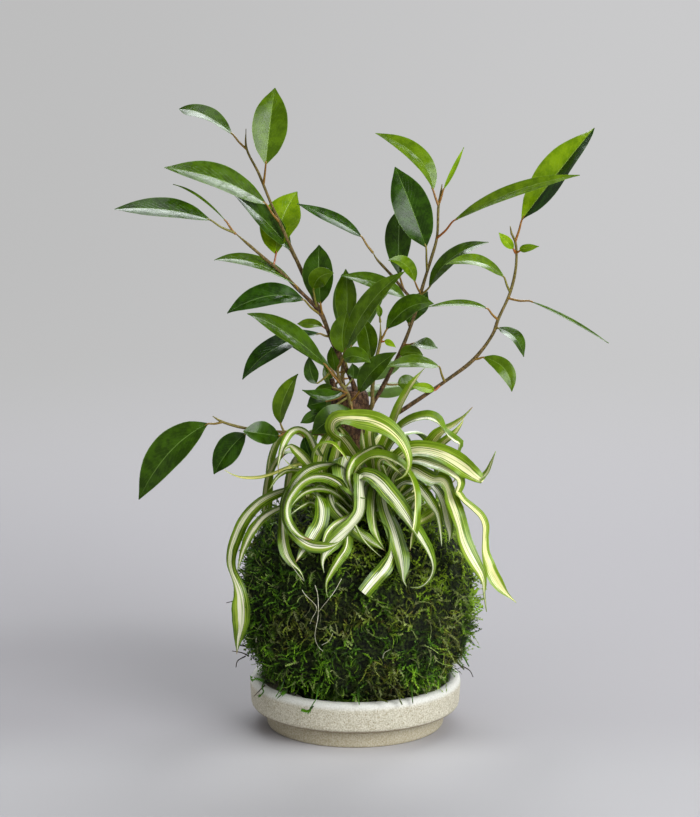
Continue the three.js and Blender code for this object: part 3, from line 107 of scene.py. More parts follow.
# Each has its place, width and height in metres, its watts and colour, and what it doesn't show in.
SOFTBOXES = {
    "key_softbox": ((1.0, -1.25, 0.85), 1.1, 1.1, 30, (0.97, 0.99, 1), None),
    "overhead_softbox": ((-0.2, 0.2, 1.8), 0.8, 0.8, 4, (0.95, 0.98, 1), None),
    "back_softbox": ((0.3, 1.7, 1.7), 2.6, 1.3, 52, (0.94, 0.98, 1), "visible_glossy"),
    "glint_softbox": ((0.285, 1.6, 1.61), 2.45, 1.22, 90, (0.94, 0.98, 1), "visible_diffuse"),
    "side_glint_softbox": ((0.95, -1.19, 0.85), 1.45, 1.45, 48, (0.97, 0.99, 1), "visible_diffuse"),
}
SMOOTH_ANGLE = math.radians(55)


def paint(colour):
    """A shader's colour for red, green and blue as the eye reads them, 0 to 255; others pass."""
    if isinstance(colour, bpy.types.NodeSocket) or len(colour) == 4:
        return colour
    return (*(((c / 255 + 0.055) / 1.055) ** 2.4 if c > 10 else c / 3295 for c in colour), 1)


def feed(made, inputs):
    """Sets a node's inputs, each to a value or to the socket that feeds it."""
    for key, value in inputs.items():
        if isinstance(value, bpy.types.NodeSocket):
            made.id_data.links.new(value, made.inputs[key])
        else:
            made.inputs[key].default_value = value
    return made


def node(kind, inputs, tree=None, **settings):
    """Adds a node to the tree of the sockets that feed it, or to the one named."""
    tree = tree or next(v.id_data for v in inputs.values() if isinstance(v, bpy.types.NodeSocket))
    made = tree.nodes.new(kind)
    for key, value in settings.items():
        setattr(made, key, value)
    return feed(made, inputs)


def new_finish(name, sockets):
    """A material, its own Principled shader, set socket by socket, and its Object coordinates."""
    finish = bpy.data.materials.new(name)
    finish.use_nodes = True
    shader = feed(finish.node_tree.nodes["Principled BSDF"], sockets)
    return finish, shader, node("ShaderNodeTexCoord", {}, shader.id_data).outputs["Object"]


def mixed(share, first, second, mode="MIX"):
    """A colour between two, or blended in another mode."""
    inputs = {0: share, 6: paint(first), 7: paint(second)}
    return node("ShaderNodeMix", inputs, data_type="RGBA", blend_type=mode).outputs[2]


def sums(operation, *values):
    return node("ShaderNodeMath", dict(enumerate(values)), operation=operation).outputs[0]


def times(first, *more):
    for value in more:
        first = sums("MULTIPLY", first, value)
    return first


def eased(value, low, high, to_low=0.0, to_high=1.0):
    """A value mapped smoothly from low..high to to_low..to_high."""
    inputs = {"Value": value, "From Min": low, "From Max": high, "To Min": to_low, "To Max": to_high}
    return node("ShaderNodeMapRange", inputs, interpolation_type="SMOOTHSTEP").outputs["Result"]


def cloudy(vector, scale, detail):
    return node("ShaderNodeTexNoise", {"Vector": vector, "Scale": scale, "Detail": detail}).outputs["Fac"]


def parts_of(vector):
    return node("ShaderNodeSeparateXYZ", {0: vector}).outputs


def mesh_piece(name, points, faces, finish):
    """An object at the origin from points in millimetres, smooth, with its sharp edges kept."""
    mesh = bpy.data.meshes.new(name)
    mesh.from_pydata((np.asarray(points, float) * MM).tolist(), [], faces)
    mesh.polygons.foreach_set("use_smooth", [True] * len(mesh.polygons))
    mesh.set_sharp_from_angle(angle=SMOOTH_ANGLE)
    mesh.materials.append(finish)
    return placed(name, mesh)


def spun(outline, steps, centre=0.0):
    """Points and outward faces of a body turned round the line x = centre, from axis to axis."""
    angles = np.linspace(0, 2 * math.pi, steps, endpoint=False)
    points = [(centre, 0, outline[0][1])]
    for r, z in outline[1:-1]:
        points += [(centre + r * math.cos(a), r * math.sin(a), z) for a in angles]
    points.append((centre, 0, outline[-1][1]))
    rows, last, faces = len(outline) - 2, len(points) - 1, []
    for j in range(steps):
        k = (j + 1) % steps
        faces.append((0, 1 + k, 1 + j))
        faces.append((last, last - steps + j, last - steps + k))
        faces += [(1 + i * steps + j, 1 + i * steps + k, 1 + (i + 1) * steps + k, 1 + (i + 1) * steps + j)
                  for i in range(rows - 1)]
    return points, faces


paper, shader, where = new_finish("backdrop_paper", {"Roughness": 1.0, "Specular IOR Level": 0.0})
place = parts_of(where)
# Painted shade darkens the paper at the left of the plant, and painted light lightens it in front.
tint = mixed(eased(place["X"], *SIDE_FADE), SHADED_PAPER, PAPER)
tint = mixed(eased(place["Y"], *BEHIND_FADE), tint, PAPER)
tint = mixed(eased(place["Y"], *FRONT_FADE), tint, PAINTED_LIGHT_PAPER)
# The painted pool of light: where it lies, slanted, in front of the saucer.
beside = sums("SUBTRACT", sums("MULTIPLY_ADD", place["Y"], POOL_SLANT, place["X"]), POOL_MIDDLE)
painted_pool = times(eased(sums("ABSOLUTE", beside), *POOL_SIDES),
             eased(place["Y"], *POOL_BACK), eased(place["Y"], *POOL_FRONT))
tint = mixed(painted_pool, tint, PAINTED_POOL_PAPER)
tint = mixed(times(cloudy(where, CLOUD_SCALE, 2.0), CLOUD_SHARE), tint, CLOUD_PAPER)
# Far off the paper glows with painted light, dimmer at the left and brighter at the right.
far_off = eased(node("ShaderNodeVectorMath", {0: where}, operation="LENGTH").outputs["Value"], *GLOW_FADE)
glow = mixed(eased(place["X"], *GLOW_SIDES), GLOW_LEFT, GLOW_RIGHT)
feed(shader, {"Base Color": mixed(far_off, tint, BLACK), "Emission Strength": 1.0,
              "Emission Color": mixed(far_off, mixed(painted_pool, BLACK, PAINTED_POOL_GLOW), glow)})

bend = [(BOWL_FLOOR + BOWL_BEND * math.sin(a), BOWL_BEND * (1 - math.cos(a)))
        for a in np.linspace(0, math.pi / 2, 12)]
points, faces = spun([(0, 0), (400, 0), (1200, 0), *bend, (BOWL_FLOOR + BOWL_BEND, BOWL_HEIGHT), (0, 0)], BOWL_STEPS)
# The lid that closes the turned shape is left off, and the paper faces inwards.
bowl = mesh_piece("studio_bowl", points[:-1], [f[::-1] for f in faces if len(points) - 1 not in f], paper)

for name, (spot, wide, high, watts, colour, unseen) in SOFTBOXES.items():
    light = bpy.data.lights.new(name, "AREA")
    light.shape, light.size, light.size_y, light.energy, light.color = "RECTANGLE", wide, high, watts, colour
    box = placed(name, light)
    box.location = spot
    box.rotation_euler = (AIM * MM - Vector(spot)).to_track_quat("-Z", "Y").to_euler()
    if unseen:
        setattr(box, unseen, False)
scene.world = bpy.data.worlds.new("studio_air")
scene.world.use_nodes = True
feed(scene.world.node_tree.nodes["Background"], {"Color": AIR_COLOUR, "Strength": AIR_STRENGTH})

# Saucer. It is thrown in a speckled, cream-coloured stoneware and left matt. The groove where the
# band springs from the foot is darkened, partly dust and partly painted shade, and the foot is
# browner. The top of the lip is paler, partly a smoother glaze and partly a painted highlight. The
# fine throwing rings are in its wall.
SAUCER_STEPS = 160
SAUCER_OUTLINE = [(0, 0), (53.5, 0), (54.5, 1), (55, 10.5), (62.6, 11.9), (64.2, 13.9), (65, 26.5),
                  (64.1, 29.3), (62.4, 30.5), (59.6, 30.5), (57.6, 29.3), (57, 26.5), (55.6, 14), (49, 8), (0, 8)]
CORNER_REACH = 1.6
THROWING, RING_RATE, WALL_RADIUS = 0.1, 1.9, 50
CLAY, GRIT = ((187, 182, 162), (205, 200, 182)), ((148, 136, 106), (222, 218, 202))
DOT_SCALE, DOT_EDGE, DOT_RARITY, DOT_BROWN = 760.0, (0.42, 0.22), 0.55, (146, 130, 98)
PIT_SCALE, PIT_SIZE, PIT_RARITY, PIT_BROWN = 330.0, 0.11, 0.72, (104, 86, 60)
GROOVE_BELOW, GROOVE_ABOVE, GROOVE_DUST_AND_SHADE = (0.0085, 0.0108), (0.0142, 0.0118), (116, 98, 70)
FOOT_FADE, FOOT_BROWN = (0.012, 0.009), (144, 130, 96)
LIP_FADE, LIP_PALE_AND_HIGHLIGHT = (0.0255, 0.0285), (228, 230, 227)


def rounded(outline, reach, steps=5):
    """The outline [radius, height] with its corners rounded, its two ends kept."""
    rows = [outline[0]]
    for before, corner, after in zip(outline, outline[1:], outline[2:]):
        before, corner, after = (np.array(p, float) for p in (before, corner, after))
        ends = []
        for other in (before, after):
            length = np.linalg.norm(other - corner)
            ends.append(corner + (other - corner) / length * min(reach, 0.45 * length))
        for t in np.linspace(0, 1, steps):
            rows.append(tuple((1 - t) ** 2 * ends[0] + 2 * t * (1 - t) * corner + t * t * ends[1]))
    return rows + [outline[-1]]


def settle(made, slot, *nodes):
    """Puts a finished piece on the object's body and hides the solids it replaces; its material slot is not used."""
    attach(made, "root")
    if nodes:
        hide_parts(*nodes)


def give_sockets(tree, way, **kinds):
    for name, kind in kinds.items():
        tree.interface.new_socket(name, in_out=way, socket_type="NodeSocket" + kind)


# A colour that drifts between two, in soft patches broken by finer ones. Stoneware, soil, moss,
# bark and both plants use it.
mottle = bpy.data.node_groups.new("mottle", "ShaderNodeTree")
give_sockets(mottle, "INPUT", Vector="Vector", Scale="Float", Spread="Float", First="Color", Second="Color")
give_sockets(mottle, "OUTPUT", Color="Color", Mask="Float")
given = node("NodeGroupInput", {}, mottle).outputs
inputs = {"Vector": given["Vector"], "Scale": given["Scale"], "Detail": 5.0, "Roughness": 0.6}
low, high = (sums(operation, 0.5, given["Spread"]) for operation in ("SUBTRACT", "ADD"))
mask = eased(node("ShaderNodeTexNoise", inputs).outputs["Fac"], low, high)
node("NodeGroupOutput", {"Color": mixed(mask, given["First"], given["Second"]), "Mask": mask})


def mottled(vector, scale, first, second, spread=0.12):
    inputs = {"Vector": vector, "Scale": scale, "Spread": spread, "First": paint(first), "Second": paint(second)}
    return node("ShaderNodeGroup", inputs, node_tree=mottle).outputs


def spots(vector, scale, channel, rarity):
    """How far off the middle of the nearest spot is, and a mask of the few spots that show."""
    cells = node("ShaderNodeTexVoronoi", {"Vector": vector, "Scale": scale}).outputs
    pick = node("ShaderNodeSeparateColor", {0: cells["Color"]}).outputs[channel]
    return cells["Distance"], sums("GREATER_THAN", pick, rarity)


def bump_up(shader, strength, distance, height):
    bump = node("ShaderNodeBump", {"Strength": strength, "Distance": distance, "Height": height})
    feed(shader, {"Normal": bump.outputs["Normal"]})


stoneware, shader, where = new_finish("speckled_stoneware", {"Specular IOR Level": 0.35})
height = parts_of(where)["Z"]
clay = mottled(where, 140.0, *CLAY, 0.2)
body = mixed(0.5, clay["Color"], mottled(where, 1100.0, *GRIT)["Color"])
near, chosen = spots(where, DOT_SCALE, 0, DOT_RARITY)
body = mixed(times(eased(near, *DOT_EDGE), chosen, 0.5), body, DOT_BROWN)
near, chosen = spots(where, PIT_SCALE, 1, PIT_RARITY)
pitted = times(sums("LESS_THAN", near, PIT_SIZE), chosen)
body = mixed(times(pitted, 0.8), body, PIT_BROWN)
# The groove is darkened: partly dust, partly painted shade.
body = mixed(times(eased(height, *GROOVE_BELOW), eased(height, *GROOVE_ABOVE), 0.88), body, GROOVE_DUST_AND_SHADE)
# The foot is browner and darker below the band.
body = mixed(eased(height, *FOOT_FADE, 0.0, 0.45), body, FOOT_BROWN)
# The top of the lip is paler: partly a smoother glaze, partly a painted highlight.
body = mixed(times(eased(height, *LIP_FADE), 0.6), body, LIP_PALE_AND_HIGHLIGHT)
feed(shader, {"Base Color": body, "Roughness": eased(clay["Mask"], 0.0, 1.0, 0.62, 0.78)})
bump_up(shader, 0.35, 0.0006, sums("SUBTRACT", cloudy(where, 700.0, 4.0), times(pitted, 1.5)))

points, faces = spun(rounded(SAUCER_OUTLINE, CORNER_REACH), SAUCER_STEPS)
points = np.array(points)
ripple = [THROWING * (noise.noise(Vector((0, 0, z * RING_RATE))) + 0.8 * noise.noise(Vector((x, y, z)) * 0.06))
          for x, y, z in points]
away = np.hypot(points[:, 0], points[:, 1])
wall = (away > WALL_RADIUS) & (points[:, 2] > 1)
points[wall, :2] *= (1 + np.array(ripple)[wall] / away[wall])[:, None]
settle(mesh_piece("stoneware_saucer", points, faces, stoneware), "stoneware", "saucer")

# Soil ball and its binding thread. A moist ball of clay and peat carries both plants, with two
# slings of twine tied to a hoop round it. The moss hides almost all of it.


def plain_finish(name, roughness, scale, first, second, strength, distance, gloss=0.5):
    """One drifting colour, with relief that follows it."""
    finish, shader, where = new_finish(name, {"Roughness": roughness, "Specular IOR Level": gloss})
    skin = mottled(where, scale, first, second)
    feed(shader, {"Base Color": skin["Color"]})
    bump_up(shader, strength, distance, skin["Mask"])
    return finish


loam = plain_finish("moist_loam", 0.95, 220.0, (38, 28, 20), (84, 64, 46), 0.8, 0.001)
twine = plain_finish("jute_twine", 0.85, 900.0, (150, 130, 92), (202, 184, 146), 0.6, 0.0003)
for name, finish in (("soil_ball", loam), ("binding_thread", twine)):
    mesh = frame["nodes"][name].data
    mesh.materials.clear()
    mesh.materials.append(finish)

# Moss. Living sheet moss is wrapped round the soil: a dark matted body, with thousands of leafy
# sprigs rooted in it. They lie in swirls, deep green below and yellow-green at their tips.
BALL_X, BALL_Z = 2, 75.3
MOSS_RADIUS, MOSS_HALF_HEIGHT = 69.5, 64
UPPER_POWER, LOWER_POWER = 2.7, 1.95
MOSS_TOP = 134
MAT_RELIEF, MAT_LOWEST, MAT_LUMPS = 4, 20, [(0.05, 0.7), (0.16, 0.5), (0.5, 0.4)]
MAT_ROWS, MAT_STEPS = 90, 150
PATCH_SHIFT, PATCH_SCALE, PATCH_SPREAD, PATCH_EDGE = (0.11, 0.07, 0.02), 26.0, 0.08, (0.7, 1.0)
SUNLIT_HEIGHT, SUNLIT_SLOPE, SUNLIT_TIPS = (0.088, 0.14), 0.5, (0.1, 0.8, 0.15, 0.9)
SUNLIT_GREEN, FADED_GREEN = (140, 172, 34), (146, 154, 98)
FADED_FROM, FADED_SHARE = 0.9, 0.55
MOSS_SHADOW_SCALE, MOSS_SHADOW = 70.0, (0.32, 0.68, 0.4, 1.42)


def mat_outline(turn):
    power = LOWER_POWER if turn < math.pi / 2 else UPPER_POWER
    rise = MOSS_HALF_HEIGHT * abs(math.cos(turn)) ** (2 / power)
    z = BALL_Z + (rise if turn > math.pi / 2 else -rise)
    return MOSS_RADIUS * math.sin(turn) ** (2 / power), min(z, MOSS_TOP + 0.04 * (z - MOSS_TOP))


def labelled(shader, name):
    return node("ShaderNodeAttribute", {}, shader.id_data, attribute_name=name).outputs["Fac"]


def moss_colours(name, deep, mid, tip, brown, dryness):
    """Dark at the root and light at the tip, brown in patches, sunlit at the top and the right."""
    finish, shader, where = new_finish(name, {"Roughness": 0.6, "Specular IOR Level": 0.12})
    along, own = labelled(shader, "tip"), labelled(shader, "shade")
    leafy = mixed(eased(along, 0.0, 0.55), deep, mid)
    leafy = mixed(times(eased(along, 0.35, 1.0), eased(own, 0.35, 0.95)), leafy, tip)
    elsewhere = node("ShaderNodeMapping", {"Vector": where, "Location": PATCH_SHIFT}).outputs[0]
    patch = mottled(elsewhere, PATCH_SCALE, deep, brown, PATCH_SPREAD)["Mask"]
    leafy = mixed(times(eased(patch, *PATCH_EDGE), dryness), leafy, brown)
    place = parts_of(where)
    outer = sums("MULTIPLY_ADD", place["X"], SUNLIT_SLOPE, place["Z"])
    leafy = mixed(times(eased(outer, *SUNLIT_HEIGHT), eased(along, *SUNLIT_TIPS)), leafy, SUNLIT_GREEN)
    leafy = mixed(times(sums("GREATER_THAN", own, FADED_FROM), FADED_SHARE), leafy, FADED_GREEN)
    gain = eased(cloudy(where, MOSS_SHADOW_SCALE, 3.0), *MOSS_SHADOW)
    grey = node("ShaderNodeCombineColor", {0: gain, 1: gain, 2: gain}).outputs[0]
    feed(shader, {"Base Color": mixed(1.0, leafy, grey, "MULTIPLY")})
    return finish


def lumpy(spot, lumps):
    """How far out a surface stands at a spot, from lumps of a rate and a size."""
    return sum(size * noise.noise(spot * rate) for rate, size in lumps)


peat = plain_finish("matted_peat", 0.95, 420.0, (6, 10, 2), (44, 58, 14), 1.0, 0.0015, 0.15)
rows = [mat_outline(t) for t in np.linspace(0, math.pi, MAT_ROWS)]
points, faces = spun([(0, rows[0][1]), *rows[1:-1], (0, rows[-1][1])], MAT_STEPS, BALL_X)
matted = []
for point in points:
    spot = Vector(point)
    out = (spot - Vector((BALL_X, 0, BALL_Z))).normalized()
    matted.append(spot + out * (MAT_RELIEF * lumpy(spot, MAT_LUMPS) if point[2] > MAT_LOWEST else 0))
moss_mat = mesh_piece("moss_mat", matted, faces, peat)


class Growth:
    """Collects the closed bodies of one piece, with a value for each point under each label."""

    def __init__(self, *labels):
        self.points, self.faces, self.values = [], [], {label: [] for label in labels}

    def add(self, points, faces, **values):
        start = len(self.points)
        self.points += [tuple(p) for p in points]
        self.faces += [tuple(start + i for i in face) for face in faces]
        for label, column in self.values.items():
            given = values[label]
            column += list(given) if hasattr(given, "__len__") else [given] * len(points)

    def made(self, name, finish):
        grown = mesh_piece(name, self.points, self.faces, finish)
        for label, column in self.values.items():
            if label == "uv":
                layer = grown.data.uv_layers.new(name="surface")
                corners = np.empty(len(grown.data.loops), int)
                grown.data.loops.foreach_get("vertex_index", corners)
                layer.data.foreach_set("uv", np.array(column, float)[corners].ravel())
            else:
                grown.data.attributes.new(label, "FLOAT", "POINT").data.foreach_set("value", column)
        return grown


def ring_faces(count, last):
    """The side faces of a body whose points lie in rings, one ring after the other."""
    return [(i * count + j, i * count + (j + 1) % count, (i + 1) * count + (j + 1) % count, (i + 1) * count + j)
            for i in range(last) for j in range(count)]


def tube(places, radii, sides):
    """Points and faces of a closed tube along places, and how far along each point lies."""
    places = [Vector(p) for p in places]
    last = len(places) - 1
    across, points, along = None, [], []
    for i, place in enumerate(places):
        forward = (places[min(i + 1, last)] - places[max(i - 1, 0)]).normalized()
        if across is None:
            across = forward.orthogonal()
        across = (across - across.dot(forward) * forward).normalized()
        other = forward.cross(across)
        for angle in (2 * math.pi * j / sides for j in range(sides)):
            points.append(place + float(radii[i]) * (math.cos(angle) * across + math.sin(angle) * other))
            along.append(i / last)
    ends = [tuple(reversed(range(sides))), tuple(last * sides + j for j in range(sides))]
    return points, ring_faces(sides, last) + ends, along


LEAFLET_SPREAD, LEAFLET_LIFT = 0.62, 0.35
LEAFLET_WIDE, LEAFLET_DEEP = 0.36, 0.24
LEAFLET_FACES = ([(0, 1, 2), (0, 3, 1), (1, 3, 2), (2, 3, 0)], [(0, 2, 1), (0, 1, 3), (1, 2, 3), (2, 0, 3)])


def add_frond(growth, places, stem, leaflet, pairs, shade=0.5):
    """A mossy sprig along places: a thin stem with pairs of pointed leaflets."""
    places = [Vector(p) for p in places]
    last = len(places) - 1
    points, faces, along = tube(places, [stem * (1 - 0.75 * i / last) for i in range(last + 1)], 3)
    growth.add(points, faces, tip=along, shade=shade)
    for k in range(pairs):
        t = (k + 0.6) / (pairs + 0.3)
        i = min(int(t * last), last - 1)
        forward = (places[i + 1] - places[i]).normalized()
        foot = places[i].lerp(places[i + 1], t * last - i)
        level = forward.orthogonal().normalized()
        for side in (-1, 1):
            way = side * LEAFLET_SPREAD * level + forward + LEAFLET_LIFT * side * level.cross(forward)
            wide = LEAFLET_WIDE * leaflet * forward
            deep = LEAFLET_DEEP * leaflet * forward.cross(level)
            point = foot + leaflet * (1.1 - 0.5 * t) * way.normalized()
            corners = [foot - wide, foot + wide, foot + deep, point]
            turn = (corners[1] - corners[0]).cross(corners[2] - corners[0]).dot(corners[3] - corners[0])
            growth.add(corners, LEAFLET_FACES[turn > 0], tip=[t, t, t, min(1, t + 0.2)], shade=shade)


SPRIG_SHAPES, SPRIG_LOWEST = 4, 0.024
SWIRL_SCALE, SWIRL_MIDDLE, SWIRL_STRENGTH = 45.0, (0.5, 0.5, 0.56), 4.5


def scatter_tree():
    """Sprigs rooted all over a surface, leaning with a slow swirl and a little of their own."""
    tree = bpy.data.node_groups.new("rooted_sprigs", "GeometryNodeTree")
    give_sockets(tree, "INPUT", Geometry="Geometry", Sprigs="Collection", Density="Float", Seed="Int",
                 Smallest="Float", Largest="Float", Lift="Float", Lowest="Float", Sunk="Float", Finish="Material")
    give_sockets(tree, "OUTPUT", Geometry="Geometry")
    given = node("NodeGroupInput", {}, tree).outputs

    def drawn(kind, low, high):
        k = ("FLOAT_VECTOR", "FLOAT", "INT").index(kind)
        inputs = {2 * k: low, 2 * k + 1: high, "Seed": given["Seed"]}
        return node("FunctionNodeRandomValue", inputs, data_type=kind).outputs[k]

    def joined(operation, first, second):
        inputs = {0: first, "Scale" if operation == "SCALE" else 1: second}
        return node("ShaderNodeVectorMath", inputs, operation=operation).outputs[0]

    place = node("GeometryNodeInputPosition", {}, tree).outputs[0]
    inputs = {0: parts_of(place)["Z"], 1: given["Lowest"]}
    rooted = node("FunctionNodeCompare", inputs, data_type="FLOAT", operation="GREATER_THAN").outputs[0]
    spread = node("GeometryNodeDistributePointsOnFaces", {
        "Mesh": given["Geometry"], "Selection": rooted, "Density": given["Density"], "Seed": given["Seed"]}).outputs
    swirl = node("ShaderNodeTexNoise", {"Vector": place, "Scale": SWIRL_SCALE, "Detail": 1.0}).outputs["Color"]
    swirl = joined("SCALE", joined("SUBTRACT", swirl, SWIRL_MIDDLE), SWIRL_STRENGTH)
    way = joined("ADD", drawn("FLOAT_VECTOR", (-1, -1, -1), (1, 1, 1)), swirl)
    way = joined("ADD", way, joined("SCALE", spread["Normal"], given["Lift"]))
    facing = node("FunctionNodeAlignRotationToVector", {"Vector": way}, axis="Z").outputs[0]
    turn = node("ShaderNodeCombineXYZ", {"Z": drawn("FLOAT", 0.0, 2 * math.pi)}).outputs[0]
    turn = node("FunctionNodeEulerToRotation", {0: turn}).outputs[0]
    facing = node("FunctionNodeRotateRotation", {0: facing, 1: turn}, rotation_space="LOCAL").outputs[0]
    sink = joined("SCALE", spread["Normal"], times(given["Sunk"], -1.0))
    roots = node("GeometryNodeSetPosition", {"Geometry": spread["Points"], "Offset": sink}).outputs[0]
    shapes = node("GeometryNodeCollectionInfo", {"Collection": given["Sprigs"], "Separate Children": True}).outputs[0]
    rows = node("GeometryNodeInstanceOnPoints", {
        "Points": roots, "Instance": shapes, "Pick Instance": True, "Rotation": facing,
        "Instance Index": drawn("INT", 0, SPRIG_SHAPES - 1),
        "Scale": drawn("FLOAT", given["Smallest"], given["Largest"])}).outputs[0]
    inputs = {"Geometry": rows, "Name": "shade", "Value": drawn("FLOAT", 0.0, 1.0)}
    named = node("GeometryNodeStoreNamedAttribute", inputs, data_type="FLOAT", domain="INSTANCE").outputs[0]
    whole = node("GeometryNodeRealizeInstances", {"Geometry": named}).outputs[0]
    dressed = node("GeometryNodeSetMaterial", {"Geometry": whole, "Material": given["Finish"]}).outputs[0]
    node("NodeGroupOutput", {0: dressed})
    return tree


def grown_on(name, surface, tree, inputs):
    """The plain mesh that a node tree grows on a surface."""
    carrier = placed(name + "_carrier", surface.data)
    modifier = carrier.modifiers.new("growth", "NODES")
    modifier.node_group = tree
    for item in tree.interface.items_tree:
        if item.in_out == "INPUT" and item.name in inputs:
            modifier[item.identifier] = inputs[item.name]
    graph = bpy.context.evaluated_depsgraph_get()
    whole = carrier.evaluated_get(graph)
    mesh = bpy.data.meshes.new_from_object(whole, preserve_all_data_layers=True, depsgraph=graph)
    carrier.modifiers.remove(modifier)
    bpy.data.objects.remove(carrier)
    mesh.name = name
    mesh.polygons.foreach_set("use_smooth", [False] * len(mesh.polygons))
    return placed(name, mesh)


rooted_sprigs = scatter_tree()
# length, leaflet length, pairs of leaflets, sprigs a square metre, smallest, largest, lift and how
# deep it is sunk, then its colours at the root, the middle and the tip, its brown and how dry it is
MOSS_LAYERS = {
    "moss_undergrowth": (7.0, 2.1, 4, 60000.0, 0.7, 1.2, 0.2, 0.0003,
                         (12, 18, 3), (44, 72, 8), (76, 108, 14), (50, 36, 16), 0.5),
    "moss_sprigs": (8.0, 2.1, 5, 50000.0, 0.6, 1.2, 0.4, 0.0,
                    (16, 28, 4), (62, 104, 10), (104, 148, 24), (96, 72, 32), 0.45),
    "moss_tips": (8.5, 1.8, 6, 40000.0, 0.5, 1.05, 0.32, -0.0002,
                  (22, 40, 4), (88, 132, 16), (142, 182, 48), (140, 112, 58), 0.4),
}
MOSS_SEED, MOSS_STEM = 11, 0.32
for layer, (name, row) in enumerate(MOSS_LAYERS.items()):
    length, leaflet, pairs, density, smallest, largest, lift, sunk, *colours = row
    finish = moss_colours(name, *colours)
    shapes = bpy.data.collections.new(name + "_shapes")
    for k in range(SPRIG_SHAPES):
        curl = 0.25 + 0.3 * k
        bow = [(length * curl * t * t, length * 0.16 * math.sin(3 * t + k), length * t * (1 - 0.3 * curl * t))
               for t in (0, 0.35, 0.7, 1)]
        growth = Growth("tip", "shade")
        add_frond(growth, bow, MOSS_STEM, leaflet, pairs)
        shape = growth.made(f"{name}_shape_{k}", finish)
        shape.data.attributes.remove(shape.data.attributes["shade"])
        scene.collection.objects.unlink(shape)
        shapes.objects.link(shape)
    made = grown_on(name, moss_mat, rooted_sprigs, {
        "Sprigs": shapes, "Density": density, "Seed": MOSS_SEED + layer, "Smallest": smallest, "Largest": largest,
        "Lift": lift, "Lowest": SPRIG_LOWEST, "Sunk": sunk, "Finish": finish})
    for shape in list(shapes.objects):
        bpy.data.objects.remove(shape)
    bpy.data.collections.remove(shapes)
    settle(made, "moss", "moss_cover")
settle(moss_mat, "moss", "moss_cover")

# Trunk. The fig was cut back hard: its trunk is a short, thick, knobbly stump of brown bark with a
# flat cut top and a thin dead stub, and the young stems spring from it.
TRUNK_X = -3
TRUNK_RADII = [(128, 13.2), (137, 13.2), (150, 12.6), (158, 12.8), (166, 11), (176, 11.2), (186, 12), (194, 11.2),
               (202, 11.4), (206.5, 10.4), (208.8, 8.6)]
TRUNK_CUT = [(4, 208.6), (0, 208.2)]
TRUNK_STUB, STUB_RADII = [[-9, 196, 2], [-13, 204, 3], [-14.5, 212, 3]], [2.6, 2.1, 1.4]
TRUNK_STEPS, TRUNK_ROWS, TRUNK_LUMPS = 72, 70, [(0.14, 0.05), (0.42, 0.05), (1.3, 0.02)]
OLD_BARK, CRACK_BROWN = ((56, 34, 22), (116, 84, 58)), (36, 24, 18)
YOUNG_BARK, RED_BARK = ((98, 102, 32), (124, 128, 58)), (160, 76, 28)

bark, shader, where = new_finish("fig_bark", {"Specular IOR Level": 0.2})
young, red = labelled(shader, "young"), labelled(shader, "red")
long_way = node("ShaderNodeMapping", {"Vector": where, "Scale": (1, 1, 0.5)}).outputs[0]
old_bark = mottled(long_way, 420.0, *OLD_BARK, 0.14)
scale = node("ShaderNodeTexVoronoi", {"Vector": long_way, "Scale": 520.0}, feature="DISTANCE_TO_EDGE")
crack = eased(scale.outputs["Distance"], 0.0, 0.08)
brown = mixed(crack, CRACK_BROWN, old_bark["Color"])
skin = mixed(red, mottled(where, 700.0, *YOUNG_BARK)["Color"], RED_BARK)
feed(shader, {"Base Color": mixed(young, brown, skin), "Roughness": eased(young, 0.0, 1.0, 0.85, 0.4)})
bump_up(shader, 0.7, 0.0006, times(sums("ADD", crack, old_bark["Mask"]), sums("SUBTRACT", 1.15, young)))

heights = np.linspace(TRUNK_RADII[0][0], TRUNK_RADII[-1][0], TRUNK_ROWS)
outline = [(np.interp(z, *zip(*TRUNK_RADII)), z) for z in heights]
points, faces = spun([(0, heights[0]), *outline, *TRUNK_CUT], TRUNK_STEPS, TRUNK_X)
knobbly = []
for x, y, z in points:
    angle = math.atan2(y, x - TRUNK_X)
    knob = 0.035 * math.sin(3 * angle + z * 0.11) + 0.02 * math.sin(5 * angle - z * 0.2)
    knob += lumpy(Vector((x, y, 0.7 * z)), TRUNK_LUMPS)
    knobbly.append(Vector((TRUNK_X, 0, z)) + Vector((x - TRUNK_X, y, 0)) * (1 + knob))
wood = Growth("young", "red")
wood.add(knobbly, faces, young=0, red=0)
wood.add(*tube([seen(p) for p in TRUNK_STUB], STUB_RADII, 10)[:2], young=0, red=0)
settle(wood.made("trunk", bark), "bark", "fig_trunk")

# Leafy stems of the fig. Each is one living shoot that springs from the trunk: brown at its foot
# and green at its end, with glossy pointed leaves, folded a little along the midrib, on short green
# or red stalks.

